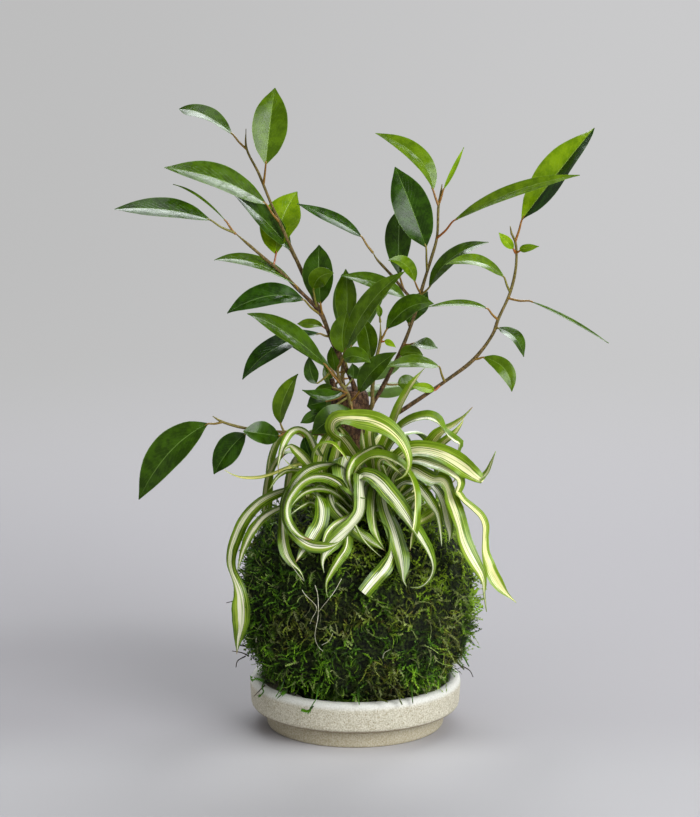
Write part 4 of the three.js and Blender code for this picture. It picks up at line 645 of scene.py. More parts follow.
# A stem has how green it is at its foot and end, its twigs and its leaves. A twig has its radii at
# its ends and a path. A leaf is its stalk's foot, its base, middle and tip, its width, its roll in
# degrees, and its tone, from 0, dark, to 1, yellow-green: partly the leaf's own colour and partly
# painted light, where light shines through the leaf, and painted shade. A leaf with a fold of its
# own has that next, in degrees, and then the tone of its far half where that differs, which is
# painted shade on that half.
STEMS = {
    "tall_left": ((0.05, 0.75), [
        (1.7, 0.6, [[1,198,3], [-1,208,6], [-9,225,6], [-15,237,5], [-20,250,4], [-27,264.5,2], [-33,278,0],
            [-40,293.5,-3], [-47,309,-6], [-52,320,-8], [-60,339.5,-12], [-67.5,355,-15], [-67.8,367,-16]]),
        (1.3, 0.8, [[-21,251.5,4], [-26,258,6], [-35,267,10], [-45,277,14], [-55,285.5,18], [-66,295,22],
            [-76.5,304,25.5]]),
    ], [
        [[-67,354,-15], [-76,363.5,-16], [-94,376,-25], [-109.5,379,-36], 16, -56, 0.3, 12],
        [[-57,332,-11], [-55.5,345,-3], [-53,369,-8], [-49.8,392.3,-17], 22, -2, 0.45, 18],
        [[-47,309,-6], [-55.5,320.5,-2], [-84,335.3,12], [-118.5,343,20], 25, -54, 0.33, 12],
        [[-35,283,-1], [-40,291,-6], [-56,310,-6], [-75,326,3], 22, -54, 0.2, 12],
        [[-51,282,16], [-49.2,289.5,-4], [-46,309,-18], [-36,328,-26], 25, 20, 0.8],
        [[-75,302.5,25], [-90,310.5,27], [-119,317,30], [-149.5,317,26], 22, -58, 0.2, 12],
        [[-74,301.5,24.5], [-80,309.5,24], [-97,325,20], [-113,332.5,14], 1.8, -30, 0.4],
        [[-34,266,9.5], [-37,270,12], [-63,284,18], [-87.5,285.5,14], 14, -58, 0.35, 12],
        [[-20.5,251,4], [-21.5,258.5,8], [-22.5,277,10], [-22.5,295,4], 20, 20, 0.2],
        [[-24,256,5], [-26,267.5,12], [-22,275,19], [-13.5,277.5,24], 12, 0, 0.5],
        [[-22,252,4.5], [-32,261,12], [-55,263,22], [-79.5,252.5,28], 18, -40, 0.12],
        [[-15.5,238,5], [-22,240,7], [-50,231,14], [-70,211.5,18], 20, -54, 0.1, 12],
        [[-17.5,243,5], [-20,244.5,0], [-28,246,-6], [-36,246,-12], 7, -30, 0.7],
        [[-9.5,226,6], [-6,242,1], [-5,262,-2], [-6,280,-4], 15, 28, 0.45],
        [[-4,214,6], [-7,228,8], [-8,240,10], [-5,254,10], 15, 10, 0.45],
        [[-6,217,6], [-14.5,206,-2], [-17,213,-4], [-19.5,220,-6], 6, 0, 0.5],
        [[-6,217,6], [-12,216,0], [-13.5,224,-4], [-15,232,-8], 8, 0, 0.35],
    ]),
    "low_left": ((0.2, 0.9), [
        (1.3, 0.7, [[-8,176.5,3], [-30,178.5,14], [-44,178.8,16], [-68,181.3,20], [-83,185.5,22], [-88.5,188.8,22]]),
    ], [
        [[-44,178.8,16], [-46.3,184,13], [-44.5,199,14], [-35.5,215,10], 13, 35, 0.5],
        [[-82,185.2,22], [-91.5,184,23], [-115.5,166,28], [-134.3,137,28], 24, -30, 0.22],
        [[-66,181,19.7], [-68,178,21], [-78.5,167.5,24], [-87.7,152.7,24], 17, -25, 0.15],
        [[-44,178.8,16], [-47,176.5,18], [-58,178,26], [-69.5,179.5,31], 15, -20, 0.2],
        [[-34,178.6,14.5], [-32,176,14], [-30,169,13], [-27,162,12], 12, 30, 0.1],
        [[-14,177,6], [-15,170,5], [-14,163,6], [-11,156,8], 10, 20, 0.1],
    ]),
    "front": ((0.5, 1), [
        (1.5, 0.7, [[-4,189,6], [-3,197,15.5], [-5,203,13], [-9,209.5,14], [-15,217,15]]),
        (1, 0.7, [[-9,209,14], [-11,217,16], [-9.5,222,17], [-8.7,226.5,18]]),
    ], [
        [[-9,209,14], [-18,220,18], [-42,240,30], [-67,252.3,38], 19, -52, 0.3, 12],
        [[-15,216.5,15], [-24,209,15], [-27.5,216,16], [-28.5,226,17.5], 9, 0, 0.2],
        [[-5,203,13], [-18,198,15], [-24,196.5,16], [-30,195,16], 13, -10, 0.15],
        [[-6,204.5,13], [-14,206.5,10], [-19,206,8], [-26,204,7], 6, 0, 0.3],
        [[-5,203,13], [-8,204.5,18], [-18,201,22], [-33,205,25], 11, -50, 0.2],
        [[-4,201,13.5], [-20,192.5,18], [-27,188.5,19], [-34,184.5,20], 7, -10, 0.2],
        [[-3,198,15], [-2,192.5,17], [-15,187,24], [-27,177.5,25], 16, -20, 0.25],
        [[-9.5,222,17], [-6.5,229,20], [8,257,32], [30.5,278.5,38], 14.5, 36, 0.42],
        [[-10.6,219,16.3], [-7.6,224,22], [0,226,27], [9.5,222,30], 12, 30, 0.35],
        [[-7,206,13.5], [-2,212,11], [-1,216,10.5], [-2,221.5,10], 8, 0, 0.25],
        [[-3,198,15], [2,203.5,21], [11,217,30], [25.5,228.3,36], 14, 30, 0.3],
    ]),
    "middle": ((0.35, 1), [
        (1.4, 0.9, [[1,186,7], [10,194,12], [10.5,205,14], [11.5,213,15], [13,224,15], [15.5,236,14.5],
            [15.5,248,15.5]]),
    ], [
        [[15.5,235.5,14.5], [19.3,242.4,17], [33,256,22], [48.6,258.5,26], 15, 30, 0.3],
        [[12.7,222,15], [9.5,224,15.5], [8,237,15], [4,251,13], 14, 26, 0.4],
        [[15.5,247,15.5], [15.2,250,16], [14.9,254,16.3], [14.4,258,16.5], 4, 0, 0.5],
        [[15.3,235,14.5], [18,235.3,16], [21,234.3,18], [25,231.5,21], 4, 0, 0.95],
    ]),
    "tall_right": ((0.0, 0.8), [
        (1.5, 0.65, [[1,182,1], [9.5,194.5,3], [17,207,2], [22.1,217,0], [28.4,229.6,-3], [36.3,250.2,-7],
            [42.5,271.8,-10], [46.8,285.7,-12], [50.6,299.6,-13], [51.6,319.3,-16], [53,327,-17], [53.8,332.7,-17]]),
        (1.1, 0.7, [[38,255,-8], [35,261,-6], [30,267,-6], [23,275.5,-6], [17,282,-6], [13,286.5,-6], [10,292,-6]]),
    ], [
        [[11,290,-6], [4,300,-4], [-12,310,0], [-36,320.5,6], 12, -52, 0.15, 10],
        [[30,267,-6], [27.5,276,-9], [27,300,-16], [28.5,318,-18], 17, 14, 0.2],
        [[44.5,279,-11], [43.8,293.7,2], [35,318,1], [24.6,343.3,-8], 23, -4, 0.15],
        [[51.6,319.3,-16], [48.2,328.9,-16], [38,350,-20], [12.5,364.2,-30], 15, -42, 0.56],
        [[52,321,-16.3], [54.5,329,-15], [60.7,341.2,-14], [67.3,355.5,-13], 3, 0, 0.9],
        [[50.4,299,-13], [60.7,309.7,-4], [98,328,18], [139.2,338.2,30], 10.5, 42, 0.58],
        [[40.3,264,-9], [45.8,268.6,-4], [60,287,4], [82.6,296.7,8], 14, 50, 0.28, 12],
        [[40.5,265,-9], [37,272,0], [31.5,282.5,7], [20.5,285.5,12], 9.5, -30, 0.55],
        [[34,243.5,-6], [33,246,-12], [38,256,-18], [45,266,-22], 15, 20, 0.2],
        [[37,257.5,-7.3], [31,262,-2], [14,271,4], [-9,276,4], 15, -52, 0.35, 12],
        [[30,233,-4], [36,234,4], [42,233,10], [51,231,15], 12, 55, 0.3],
        [[24.5,221.5,-1], [28,226,5], [34,228.5,8], [42,226.5,9], 9, 0, 0.45],
        [[18,209,2], [26,208.5,-2], [32,209,-5], [40,209,-8], 11, 20, 0.45],
    ]),
    "outer_right": ((0.0, 0.85), [
        (1.35, 0.65, [[1,173.5,-2], [18,185,3.5], [29.2,192.5,8], [56.1,210.7,10], [73.5,224.1,8], [85.4,240,5],
            [88.5,248.7,3], [96,265.5,0], [99.7,282.5,1], [99.1,297.4,2], [97,301.5,3], [96,306.8,4]]),
    ], [
        [[99.1,297,2], [103.4,310.7,4], [125,339,6], [148.2,367.6,4], 25.5, 42, 0.85, 20, 0.05],
        [[99.3,290,1.5], [98,292.5,3], [94,297,6], [89,302.5,8], 6, 0, 0.9],
        [[99.3,290,1.5], [102,291.3,4], [106,293,8], [113.8,294,12], 5, 0, 0.8],
        [[96,265.5,0], [92.2,275,5], [76,284.5,20], [56,283,28], 11, -50, 0.5, 12],
        [[88.5,248.5,3], [82,255.5,8], [66,258.5,16], [45,256.5,24], 6.5, -54, 0.4],
        [[94.5,262,0.5], [108.3,260.2,6], [132,249,12], [157.2,234,16], 4, 60, 0.35],
        [[86.5,243,4.5], [88.5,243.5,6], [99,237.5,14], [104.5,225.5,18], 11.5, 50, 0.25, 12],
        [[73.5,224,8], [79.1,225.3,10], [92.5,218,16], [97,204,18], 10.5, 14, 0.48],
        [[55.3,210.2,10], [52,219.5,14], [37,222,20], [19,219.5,25], 13, -54, 0.45, 12],
        [[53,208.5,10], [49,204.5,12], [43,206.5,14], [34,207.5,15], 6, 0, 0.8],
    ]),
    "back": ((0.1, 0.8), [
        (1.7, 0.8, [[-4,187,-3], [-6,200,-18], [-8,215,-25], [-5,235,-31], [2,256,-36]]),
    ], [
        [[-7,205,-20], [-14,217,-22], [-39,238,-32], [-60,249,-40], 11, 150, 0.2],
        [[-6,226,-28.5], [-3,231,-31], [8,254,-42], [20,270,-48], 11, 215, 0.2],
        [[-7.5,212,-24], [-3,213,-29], [14,218,-42], [30,222,-52], 14, 210, 0.25],
        [[-5,235,-31], [-7,240,-33], [-8,259,-40], [-8,277,-44], 12, 170, 0.25],
        [[1,253,-35.3], [4,257,-39], [14,265,-46], [24,276,-54], 10, 190, 0.3],
        [[-6.3,203,-19], [3,202,-27], [20,206,-40], [34,207,-50], 14, 225, 0.3],
        [[-8,215,-25], [-12,209,-34], [-18,197,-52], [-22,186,-64], 15, 160, 0.25],
        [[2,256,-36], [-1,260,-38], [-4,267,-48], [-7,274,-62], 10, 150, 0.3],
    ]),
}
LEAF_OUTLINE = [(0, 0.05), (0.07, 0.3), (0.2, 0.7), (0.44, 1), (0.63, 0.93), (0.8, 0.63), (0.92, 0.27), (1, 0.01)]
LEAF_ROWS = 20
LEAF_SPOKES = (-1, -0.86, -0.6, -0.3, -0.06, 0, 0.06, 0.3, 0.6, 0.86, 1)
LEAF_FOLD, FOLD_SPREAD, FOLD_OPENS = 17, (0.9, 1.1), 0.35
LEAF_WAVE, LEAF_CURL = (0.01, 0.035), (-0.15, 0.25)
LEAF_THICKNESS, LEAST_HALF = 0.35, 0.25
TWIG_SAMPLE, TWIG_SIDES, BUD_LENGTH, BUD_RADIUS = 2.5, 10, 12, 0.22
STALK_RADII, STALK_SAMPLE, STALK_SIDES, STALK_SAG = (0.8, 0.5), 1.2, 8, 0.05
RED_STALK_TONE, RED_FLUSH, GREEN_FLUSH, TWIG_FLUSH = 0.5, (0.4, 1), (0.05, 0.5), 0.15
DARK_LEAF, LIGHT_LEAF = ((17, 42, 3), (34, 69, 5)), ((120, 157, 5), (148, 182, 18))
VEIN_GREENS, MATT_GREEN = ((96, 134, 60), (176, 200, 96)), (114, 142, 66)
VEIN_RATE, VEIN_SLANT, LEAF_DROOP = 15.0, 9.0, 0.3


def path_through(places, sample):
    """Places and directions along a smooth path, evenly spaced, with how far along it each lies."""
    p = np.array([tuple(q) for q in places], float)
    p = np.vstack([2 * p[0] - p[1], p, 2 * p[-1] - p[-2]])
    gaps = np.maximum(np.linalg.norm(np.diff(p, axis=0), axis=1) ** 0.5, 1e-4)

    def at(t):
        i = np.clip(t.astype(int), 0, len(places) - 2)
        u = (t - i)[:, None]
        before, gap, after = (gaps[i + k][:, None] for k in range(3))
        a, b, c, d = (p[i + k] for k in range(4))
        start = ((b - a) / before - (c - a) / (before + gap) + (c - b) / gap) * gap
        end = ((c - b) / gap - (d - b) / (gap + after) + (d - c) / after) * gap
        cubed, squared = 2 * b - 2 * c + start + end, 3 * c - 3 * b - 2 * start - end
        return cubed * u ** 3 + squared * u ** 2 + start * u + b, 3 * cubed * u ** 2 + 2 * squared * u + start

    fine = np.linspace(0, len(places) - 1, 40 * len(places))
    dense = at(fine)[0]
    run = np.concatenate([[0], np.cumsum(np.linalg.norm(np.diff(dense, axis=0), axis=1))])
    steps = max(3, round(run[-1] / sample))
    t = np.interp(np.linspace(0, run[-1], steps + 1), run, fine)
    place, way = at(t)
    return [Vector(q) for q in place], [Vector(w).normalized() for w in way], t / (len(places) - 1), run[-1]


def facing(place, forward, roll):
    """Side and face directions of a blade that runs along forward, rolled away from the camera."""
    side = forward.cross(EYE - place).normalized()
    face = side.cross(forward)
    return side * math.cos(roll) + face * math.sin(roll), face * math.cos(roll) - side * math.sin(roll)


def add_blade(growth, stations, spokes, thickness, **values):
    """A thin closed blade. A station is place, side, face, half width, fold and how far along."""
    points, uvs, under = [], [], []
    count = len(spokes)
    skin = [thickness * (1 - 0.7 * abs(u) ** 3) for u in spokes]
    for place, side, face, half, fold, along in stations:
        top = [place + side * (u * half * math.cos(fold)) + face * (abs(u) * half * math.sin(fold)) for u in spokes]
        points += top + [p - face * s for p, s in zip(reversed(top), reversed(skin))]
        uvs += [((u + 1) / 2, along) for u in (*spokes, *reversed(spokes))]
        under += [0] * count + [1] * count
    ring, last = 2 * count, len(stations) - 1
    faces = ring_faces(ring, last)
    for k in range(count - 1):
        a, b, c, d = k, k + 1, ring - 2 - k, ring - 1 - k
        faces += [(a, d, c, b), tuple(last * ring + q for q in (a, b, c, d))]
    growth.add(points, faces, uv=uvs, under=under, **values)


def add_fig_leaf(growth, row, chance):
    foot, base, middle, tip, width, roll, tone, *own = row
    # A far half with a tone of its own carries painted shade.
    fold, far_tone_and_shade = own + [LEAF_FOLD, tone][len(own):]
    start, through, end = seen(base), seen(middle), seen(tip)
    bow = through * 2 - (start + end) * 0.5
    wave, phase, curl = chance.uniform(*LEAF_WAVE) * width, chance.uniform(0, 6), chance.uniform(*LEAF_CURL)
    fold = math.radians(fold) * chance.uniform(*FOLD_SPREAD)
    outline = np.array([tuple(q) for q in path_through([(t, w, 0) for t, w in LEAF_OUTLINE], 0.05)[0]])
    stations = []
    for i in range(LEAF_ROWS + 1):
        t = i / LEAF_ROWS
        place = start * (1 - t) ** 2 + bow * 2 * t * (1 - t) + end * t * t
        forward = ((bow - start) * (1 - t) + (end - bow) * t).normalized()
        side, face = facing(place, forward, math.radians(roll) + curl * (t - 0.4))
        half = max(float(np.interp(t, outline[:, 0], outline[:, 1])) * width / 2, LEAST_HALF)
        bend = fold * (1 - FOLD_OPENS * t) + wave * math.sin(9 * t + phase) / max(half, 2)
        stations.append((place, side, face, half, bend, t))
    halves = [far_tone_and_shade if u > 0 else tone for u in LEAF_SPOKES]
    tones_and_light = (halves + halves[::-1]) * (LEAF_ROWS + 1)
    add_blade(growth, stations, LEAF_SPOKES, LEAF_THICKNESS, tone=tones_and_light, size=width)


def surface_of(shader):
    """Where a point lies on its blade: X runs across it and Y along it."""
    return node("ShaderNodeUVMap", {}, shader.id_data, uv_map="surface").outputs[0]


waxy = {"Specular IOR Level": 0.08, "Coat Weight": 0.1, "Coat Roughness": 0.07}
fig_leaf, shader, where = new_finish("fig_leaf", waxy)
across, along, _ = parts_of(surface_of(shader)).values()
tone, below, size = (labelled(shader, name) for name in ("tone", "under", "size"))
from_rib = sums("ABSOLUTE", sums("SUBTRACT", across, 0.5))
dark, light = (mottled(where, 160.0, *greens)["Color"] for greens in (DARK_LEAF, LIGHT_LEAF))
# The tone blends dark to yellow-green: partly the leaf's own colour, partly painted light shining through it and
# painted shade.
green = mixed(sums("POWER", tone, 1.7), dark, light)
slant = sums("SUBTRACT", times(along, VEIN_RATE), times(from_rib, VEIN_SLANT))
from_vein = sums("ABSOLUTE", sums("SUBTRACT", sums("FRACT", slant), 0.5))
side_veins = times(eased(from_vein, 0.07, 0.0), eased(from_rib, 0.5, 0.1), 0.3)
veins = sums("MAXIMUM", side_veins, eased(from_rib, 0.022, 0.008))
pale = mixed(tone, *VEIN_GREENS)
green = mixed(times(veins, 0.55), green, pale)
green = mixed(times(eased(from_rib, 0.478, 0.496), 0.5), green, pale)
gloss = sums("ADD", eased(cloudy(where, 260.0, 3.0), 0.3, 0.7, 0.14, 0.34), times(below, 0.2))
feed(shader, {"Base Color": mixed(below, green, mixed(0.22, green, MATT_GREEN)), "Roughness": gloss})
outer = sums("MAXIMUM", sums("MULTIPLY_ADD", from_rib, 2.0, -0.3), 0.0)
middle = times(along, sums("SUBTRACT", 4.0, times(along, 4.0)))
droop = times(sums("POWER", outer, 2.0), times(middle, LEAF_DROOP), size, sums("LESS_THAN", across, 0.5))
relief = sums("SUBTRACT", times(cloudy(where, 120.0, 1.0), 1.6), times(veins, 0.5))
bump_up(shader, 0.5, 0.0006, sums("SUBTRACT", relief, droop))

chance = random.Random(5)
for stem, ((oldest, youngest), twigs, leaves) in STEMS.items():
    shoots, blades = Growth("young", "red"), Growth("uv", "under", "tone", "size")
    for start, end, path in twigs:
        places, _, run, length = path_through([seen(p) for p in path], TWIG_SAMPLE)
        radii = [start + (end - start) * t + 0.12 * start * math.sin(40 * t) * (1 - t) for t in run]
        radii = [max(r * min(1, (1 - t) * length / BUD_LENGTH) ** 0.7, BUD_RADIUS) for r, t in zip(radii, run)]
        points, faces, along = tube(places, radii, TWIG_SIDES)
        shoots.add(points, faces, young=[oldest + (youngest - oldest) * t ** 1.4 for t in along], red=TWIG_FLUSH)
    for leaf in leaves:
        foot, base, middle = (seen(p) for p in leaf[:3])
        sag = foot.lerp(base, 0.55) + Vector((0, 0, -STALK_SAG * (base - foot).length))
        places = path_through([foot, sag, base, base.lerp(middle, 0.08)], STALK_SAMPLE)[0]
        points, faces, _ = tube(places, np.linspace(*STALK_RADII, len(places)), STALK_SIDES)
        flush = chance.uniform(*(RED_FLUSH if leaf[6] > RED_STALK_TONE else GREEN_FLUSH))
        shoots.add(points, faces, young=1, red=flush)
        add_fig_leaf(blades, leaf, chance)
    settle(shoots.made("twigs_" + stem, bark), "fig_leaf", "fig_stem_" + stem)
    settle(blades.made("leaves_" + stem, fig_leaf), "fig_leaf", "fig_stem_" + stem)

# Spider plant. Its long, thin, limp leaves are striped green and cream. They spring from a crown
# on top of the ball, curl over each other in front of the trunk, and hang down over the moss.

# A strap has its full width, the edges of its pale band (-1 to 1 across), how yellow that is, and
# a path of rows [across, up, near, width as seen]. One with a span is a stretch of a longer strap.
STRAPS = [
    (14, (-0.3, 0.05, 0.6), [[3,160,28,8], [-1,168,29,9], [-7,176,32,8], [-12.5,180,36,4], [-12,184.5,40,4],
        [-6,186.5,44,8], [3,186,46,12], [12,184.5,48,13], [20,180.5,51,11], [27,174,54,8], [31.5,166,57,5],
        [32.8,159,58,3], [30.5,152.5,56,2], [24,148.3,53,1]]),
    (8, (0, 0.8, 0.7), [[12,150,26,5], [14.5,163,24,5], [18,172,22,5], [23.5,185,21,5], [27,194,22,5],
        [31,202,22,4.5], [36,210.5,25,3.5], [43,218.8,28,0.8]]),
    (9, (0.2, 0.8, 0.3), [[16,158,26,5], [20,168,26,5], [25,176,26,5], [28,181.8,27,4], [34,186,30,5],
        [40,188,33,5.5], [46,188.5,36,6], [50.5,186.5,36,6], [54.5,180.5,38,1.8], [58,177,39,4], [62,174,40,4.5],
        [65,172,40,3.5], [64,168.5,40,1.5], [63.4,162,40,1], [63.2,155,41,1], [61.5,149,41,1], [58,146,41,0.8]]),
    (11, (-0.2, 0.5, 0.9), [[32,150,12,6], [40,162,12,8], [47,170.5,14,9], [51,176,16,8], [56,180,18,4],
        [61,183,19,3], [66.5,187.5,20,2], [72.5,194.5,20,0.6]]),
    (7, (-0.2, 0.5, 0.8), [[36,155,16,6], [46,165,20,6], [54,172,24,5], [61,178,28,4], [66.5,185.5,30,2],
        [67,188,30,0.6]]),
    (14, (-0.3, 0.45, 0.5), [[20,152,26,8], [28,163,34,9], [35,167,38,10], [45,167,44,10],
        [54,164.5,50,11], [62,160.5,54,12], [69,156,58,12], [75,151,61,8], [79,148.3,62,3]], (0, 0.85)),
    (14, (-0.3, 0.45, 0.5), [[76.5,149.5,61.5,3], [81.5,153,60,3], [84.5,160,57,2.5], [86.8,167,55,0.6]], (0.8, 1)),
    (13, (-0.35, 0.35, 0.4), [[24,150,30,7], [30,155.5,36,8], [36,155,43,9], [42,151.5,49,9], [48,148.5,54,9],
        [53.5,148,58,8], [56.5,143.5,60,6], [59,136,63,9], [62,128,66,9], [64.5,120,67,8], [66.5,112,68,9],
        [70,104,69,9], [74,97,70,8], [77.5,91,70,6], [79.3,85.5,70,3], [79.5,79,70,1], [80.5,73.5,70,1],
        [81.5,67.5,70,0.6]]),
    (12, (-0.3, 0.3, 0.5), [[28,158,30,6], [38,161,40,7], [47,158.5,48,7], [54,156,54,7],
        [60,152.5,58,6.5], [64,148,61,5], [62,141,62,3]], (0, 0.5)),
    (12, (-0.5, 0.4, 0.7), [[62,143.5,62,2], [66,136.5,62,3], [72,131.2,62,3.6], [77,126.3,62,4],
        [79.3,121,62,4], [79.2,113,62,3.5], [79.6,104,63,5], [83,95,64,8], [87.5,86.5,65,8],
        [92,80.3,65,5], [96,76.5,65,2.5], [100,73,65,0.6]], (0.4, 1)),
    (8, (-0.25, 0.6, 0.15), [[44,148,46,5], [50,143,52,5], [54,136,57,5.5], [56,129,61,6], [58,121,64,6.5],
        [58.7,115,66,5], [58,110.5,66,1.5]]),
    (9, (-0.3, 0.4, 0.1), [[30,147,44,5], [38,146,50,5], [43,140,55,7], [47,134,59,6], [50.5,128,62,4],
        [52,121,64,3], [53,114,66,2], [53.5,108,67,1.2]]),
    (10, (-0.2, 0.3, 0.8), [[40,150,26,6], [50,148,34,6], [54,141,40,4], [52,134,44,5], [47,128,50,7],
        [41,124,54,8], [36,120,57,3]]),
    (6, (0.5, 0.95, 0.6), [[-2,150,40,3], [0,157,42,5], [5,162,44,5], [11,164.8,47,5], [18,164.8,49,5],
        [24,162.5,50,5], [29,159,50,4], [32.5,154.5,52,3], [35.5,149.5,56,3], [38,142,62,4], [38.5,132,65,4],
        [38,122,68,4.5], [35.5,112,70,4], [33.8,105,71,1]]),
    (6, (-0.3, 0.2, 0.3), [[16,158,24,4], [18,168,26,4], [14.5,170.5,30,3], [9,168.8,34,3.5], [4,166,38,4],
        [-1,162,42,4.5], [-4,156,45,4], [-4.3,150,47,4], [-2.5,143,50,3.5], [-1,136,54,3], [-1.2,130,58,3],
        [-5,126.3,61,3.5], [-12,122,64,4], [-17,116.5,67,4], [-19.8,109,69,3], [-20,103,71,0.8]]),
    (12, (-0.5, 0.5, 0.1), [[6,145,36,5], [5,151.5,44,5], [4,149.5,48,6], [4,143,52,7], [4.3,136,56,7.5],
        [3,128,61,7], [-2,121,65,7], [-8,115.5,68,9], [-14,110,70,9.5], [-18.5,104,72,6], [-20.3,98,73,2],
        [-19.6,91.5,74,0.8]]),
    (13, (-0.3, 0.35, 0.1), [[2,146,38,4], [4,151.5,44,4], [9,151.3,48,9], [15,147,52,11], [20,141,56,11],
        [25,135,60,10], [30,128,64,9], [35,120.5,67,7], [40,113,70,6], [44.5,106,71,5], [47.3,99,72,3],
        [47.8,94,73,2], [46,88.5,75,1.5], [42,84,76,1.2], [38,82.5,77,1], [34,82.5,77,0.8]]),
    (12, (-0.4, 0.1, 0.1), [[14,146,40,6], [17,140,46,6], [20,130,54,8], [24,120,60,9.5], [27,110,65,10],
        [29,101,70,9.5], [29.8,93,73,7], [30,87,75,4], [32,82.5,76,0.6]]),
    (11, (-0.38, 0.3, 0.1), [[17,131,50,6], [19,124,55,5], [21.5,116,60,4], [22,110,64,4],
        [22,104,67,6], [19,97,70,9], [14,90,73,9.5], [9,84,76,9], [5,79,78,8.5]], (0, 0.9)),
    (9, (-0.25, 0.2, 0.3), [[10,142,36,5], [11.5,142,42,5], [11.3,135,48,6], [11,127,54,6], [12,119,59,5],
        [14.5,112,63,4], [18,106.5,66,1.5]]),
    (9, (-0.1, 0.35, 0.1), [[-16,140,40,6], [-14,133,46,8], [-8,126,52,8], [0,118,58,7], [7,113,62,7],
        [13,109,65,5], [18.5,105.3,67,1.5]]),
    (8, (-0.2, 0.2, 0.2), [[-6,125,50,5], [-5,115,58,5], [-6,107,63,6], [-11,99.5,68,5.5], [-15.5,92,70,4],
        [-18,86,72,2], [-18,80,72.5,1.2], [-17,76,73,0.8]]),
    (11, (0, 0.9, 0.1), [[-4,158,34,8], [-7,164,38,8], [-9,157,44,9], [-8,150,48,8], [-5,145,51,5], [-2,141.3,53,3],
        [2,138.8,55,1.2], [6.5,137.5,57,0.8]]),
    (11, (-0.3, 0.3, 0.6), [[-19,150,31,8], [-21.5,158,31,9], [-20.5,165,30.5,8.5], [-17.5,172,28,7],
        [-14,178,25,6], [-11,183,21,4], [-7,185,16,3], [-2,184.5,14,1.5]]),
    (9, (-0.3, 0.3, 0.7), [[12,155,28,6], [10.5,168,27,7], [9.5,179,24,6], [13,188,20,3], [15,192,18.5,0.8]]),
    (4, (0.5, 0.9, 0.9), [[-26,160,36,1.5], [-24,169,40,1.5], [-20,172,42,1.5], [-14,172,44,2], [-10,168.5,46,2.2],
        [-6,163.5,48,2.2], [-4,160.5,49,0.8]]),
    (11, (-0.3, 0.1, 0.1), [[-8,150,34,4], [-6,157,38,3], [-10,159.3,42,3.5], [-16,159.5,46,4], [-24,158.5,50,6],
        [-31,155.3,54,7], [-37,149.5,57,7], [-41.5,142,60,6], [-44.5,134,62,5], [-44.5,126,64,5], [-40.5,118,67,6],
        [-35,112.5,70,7], [-28,108.5,72,8], [-20,107.5,73,7], [-13,109,73,4], [-8,112,72,1]]),
    (8, (-0.25, 0.25, 0.1), [[-6,142,48,5], [-11,148,53,7], [-19,151.5,56,6], [-27,151.2,59,5.5], [-33,148,61,5],
        [-38.5,142,63,5], [-42,135,65,4.5], [-42.5,127,67,4.5], [-38.5,119,70,5], [-33,114,72,4], [-27,112,73,2]]),
    (6, (-0.3, 0.1, 0.2), [[-10,139.5,48,3], [-16,143.2,52,3], [-24,144,54,3], [-31,142,56,3], [-36,138,58,2.5],
        [-40.5,131.5,60,1.5]]),
    (11, (-0.3, 0.3, 0.1), [[-22,146,44,6], [-26,142.5,48,6], [-22.5,137,52,9], [-21.3,130,56,9],
        [-22.5,122,60,9.5], [-26,115,64,10], [-30,109,67,8], [-34,103,69.5,6], [-37,98,71,2]]),
    (8, (-0.3, 0.2, 0.2), [[-30,148,40,4], [-42,144,48,4], [-45.5,136,54,4], [-45.8,128,57,4.5], [-45.8,120,59,5.5],
        [-45,112,61,7], [-43,104,63,7], [-39,97.5,65,5], [-34.5,93,67,1.5], [-31.5,87,68,0.6]]),
    (12, (-0.35, 0.25, 0.15), [[-24,146,36,5], [-34,146,42,4.5], [-42,144,46,4.5], [-50,141.5,48,5.5],
        [-58,137.5,49,6.5], [-65,131.5,49,7], [-70.5,124,48,7.5], [-74.5,115,46,7.5], [-77.5,106,44,6.5],
        [-78.3,98,42,5.5], [-77,91.5,41,4.5], [-74.5,85.5,40,6], [-72,78,39,9.5], [-71,70,38,12], [-71,62,36,11],
        [-72,54,34,7], [-73,47,32,4], [-73.5,41,30,0.8]]),
    (8, (-0.5, 0.1, 0.2), [[-30,143,40,3.5], [-38,137,46,3], [-46,133.2,50,3.5], [-52,130.5,51,4.5],
        [-58,126.5,51,5], [-63,120.5,50,6], [-67,113,48,5.5], [-70,105,46,3.5], [-72,97,44,2], [-73.5,92.5,43,0.8]]),
    (7, (-0.35, 0.35, 0.2), [[-18,156,28,5], [-24,168,31,5], [-29,178,34,4], [-35,181.3,36,4], [-40,179.3,37,5],
        [-44,173,38,4.5], [-46.5,165,39,3], [-47.8,158,39,1.5], [-47.5,154,39,0.7]]),
    (8, (-0.4, 0.4, 0.3), [[-24,150,30,6], [-28,158.5,34,6], [-31.5,163,36,7], [-36,167.5,38,6], [-40.5,170.8,39,3],
        [-44,168,40,1.5], [-45,163,40,1]]),
    (3.5, (-0.8, 0.8, 1), [[-24,156,28,3], [-33,159.5,30,2.5], [-42,157,32,2.5], [-50,154,33,2], [-58,151.5,34,2],
        [-66,150.8,34,1.8], [-72,151.3,34,1.3], [-77,153,34,0.8], [-82,156,34,0.5]]),
    (5, (-0.3, 0.2, 0.3), [[-28,152,34,3], [-38,155.5,40,2.5], [-44,154.5,43,2.5], [-49,150.5,45,3],
        [-52,145.5,46,2.5], [-54,142.5,46,0.8]]),
    (7, (-0.3, 0.3, 0.6), [[16,150,40,4], [15,160,44,4], [18,162,47,3], [22,158.5,49,3], [27,154,51,2.5],
        [31,150.5,52,1]]),
    (6, (-0.2, 0.4, 0.8), [[54,146,44,4], [60,141,50,4], [64,136,54,4], [67.5,131.5,56,2]]),
    (2.5, (-0.3, 0.3, 0.2), [[-12,135,44,2], [-4,128,56,1.8], [6,111,68,1.4], [16.5,101,70,0.8]]),
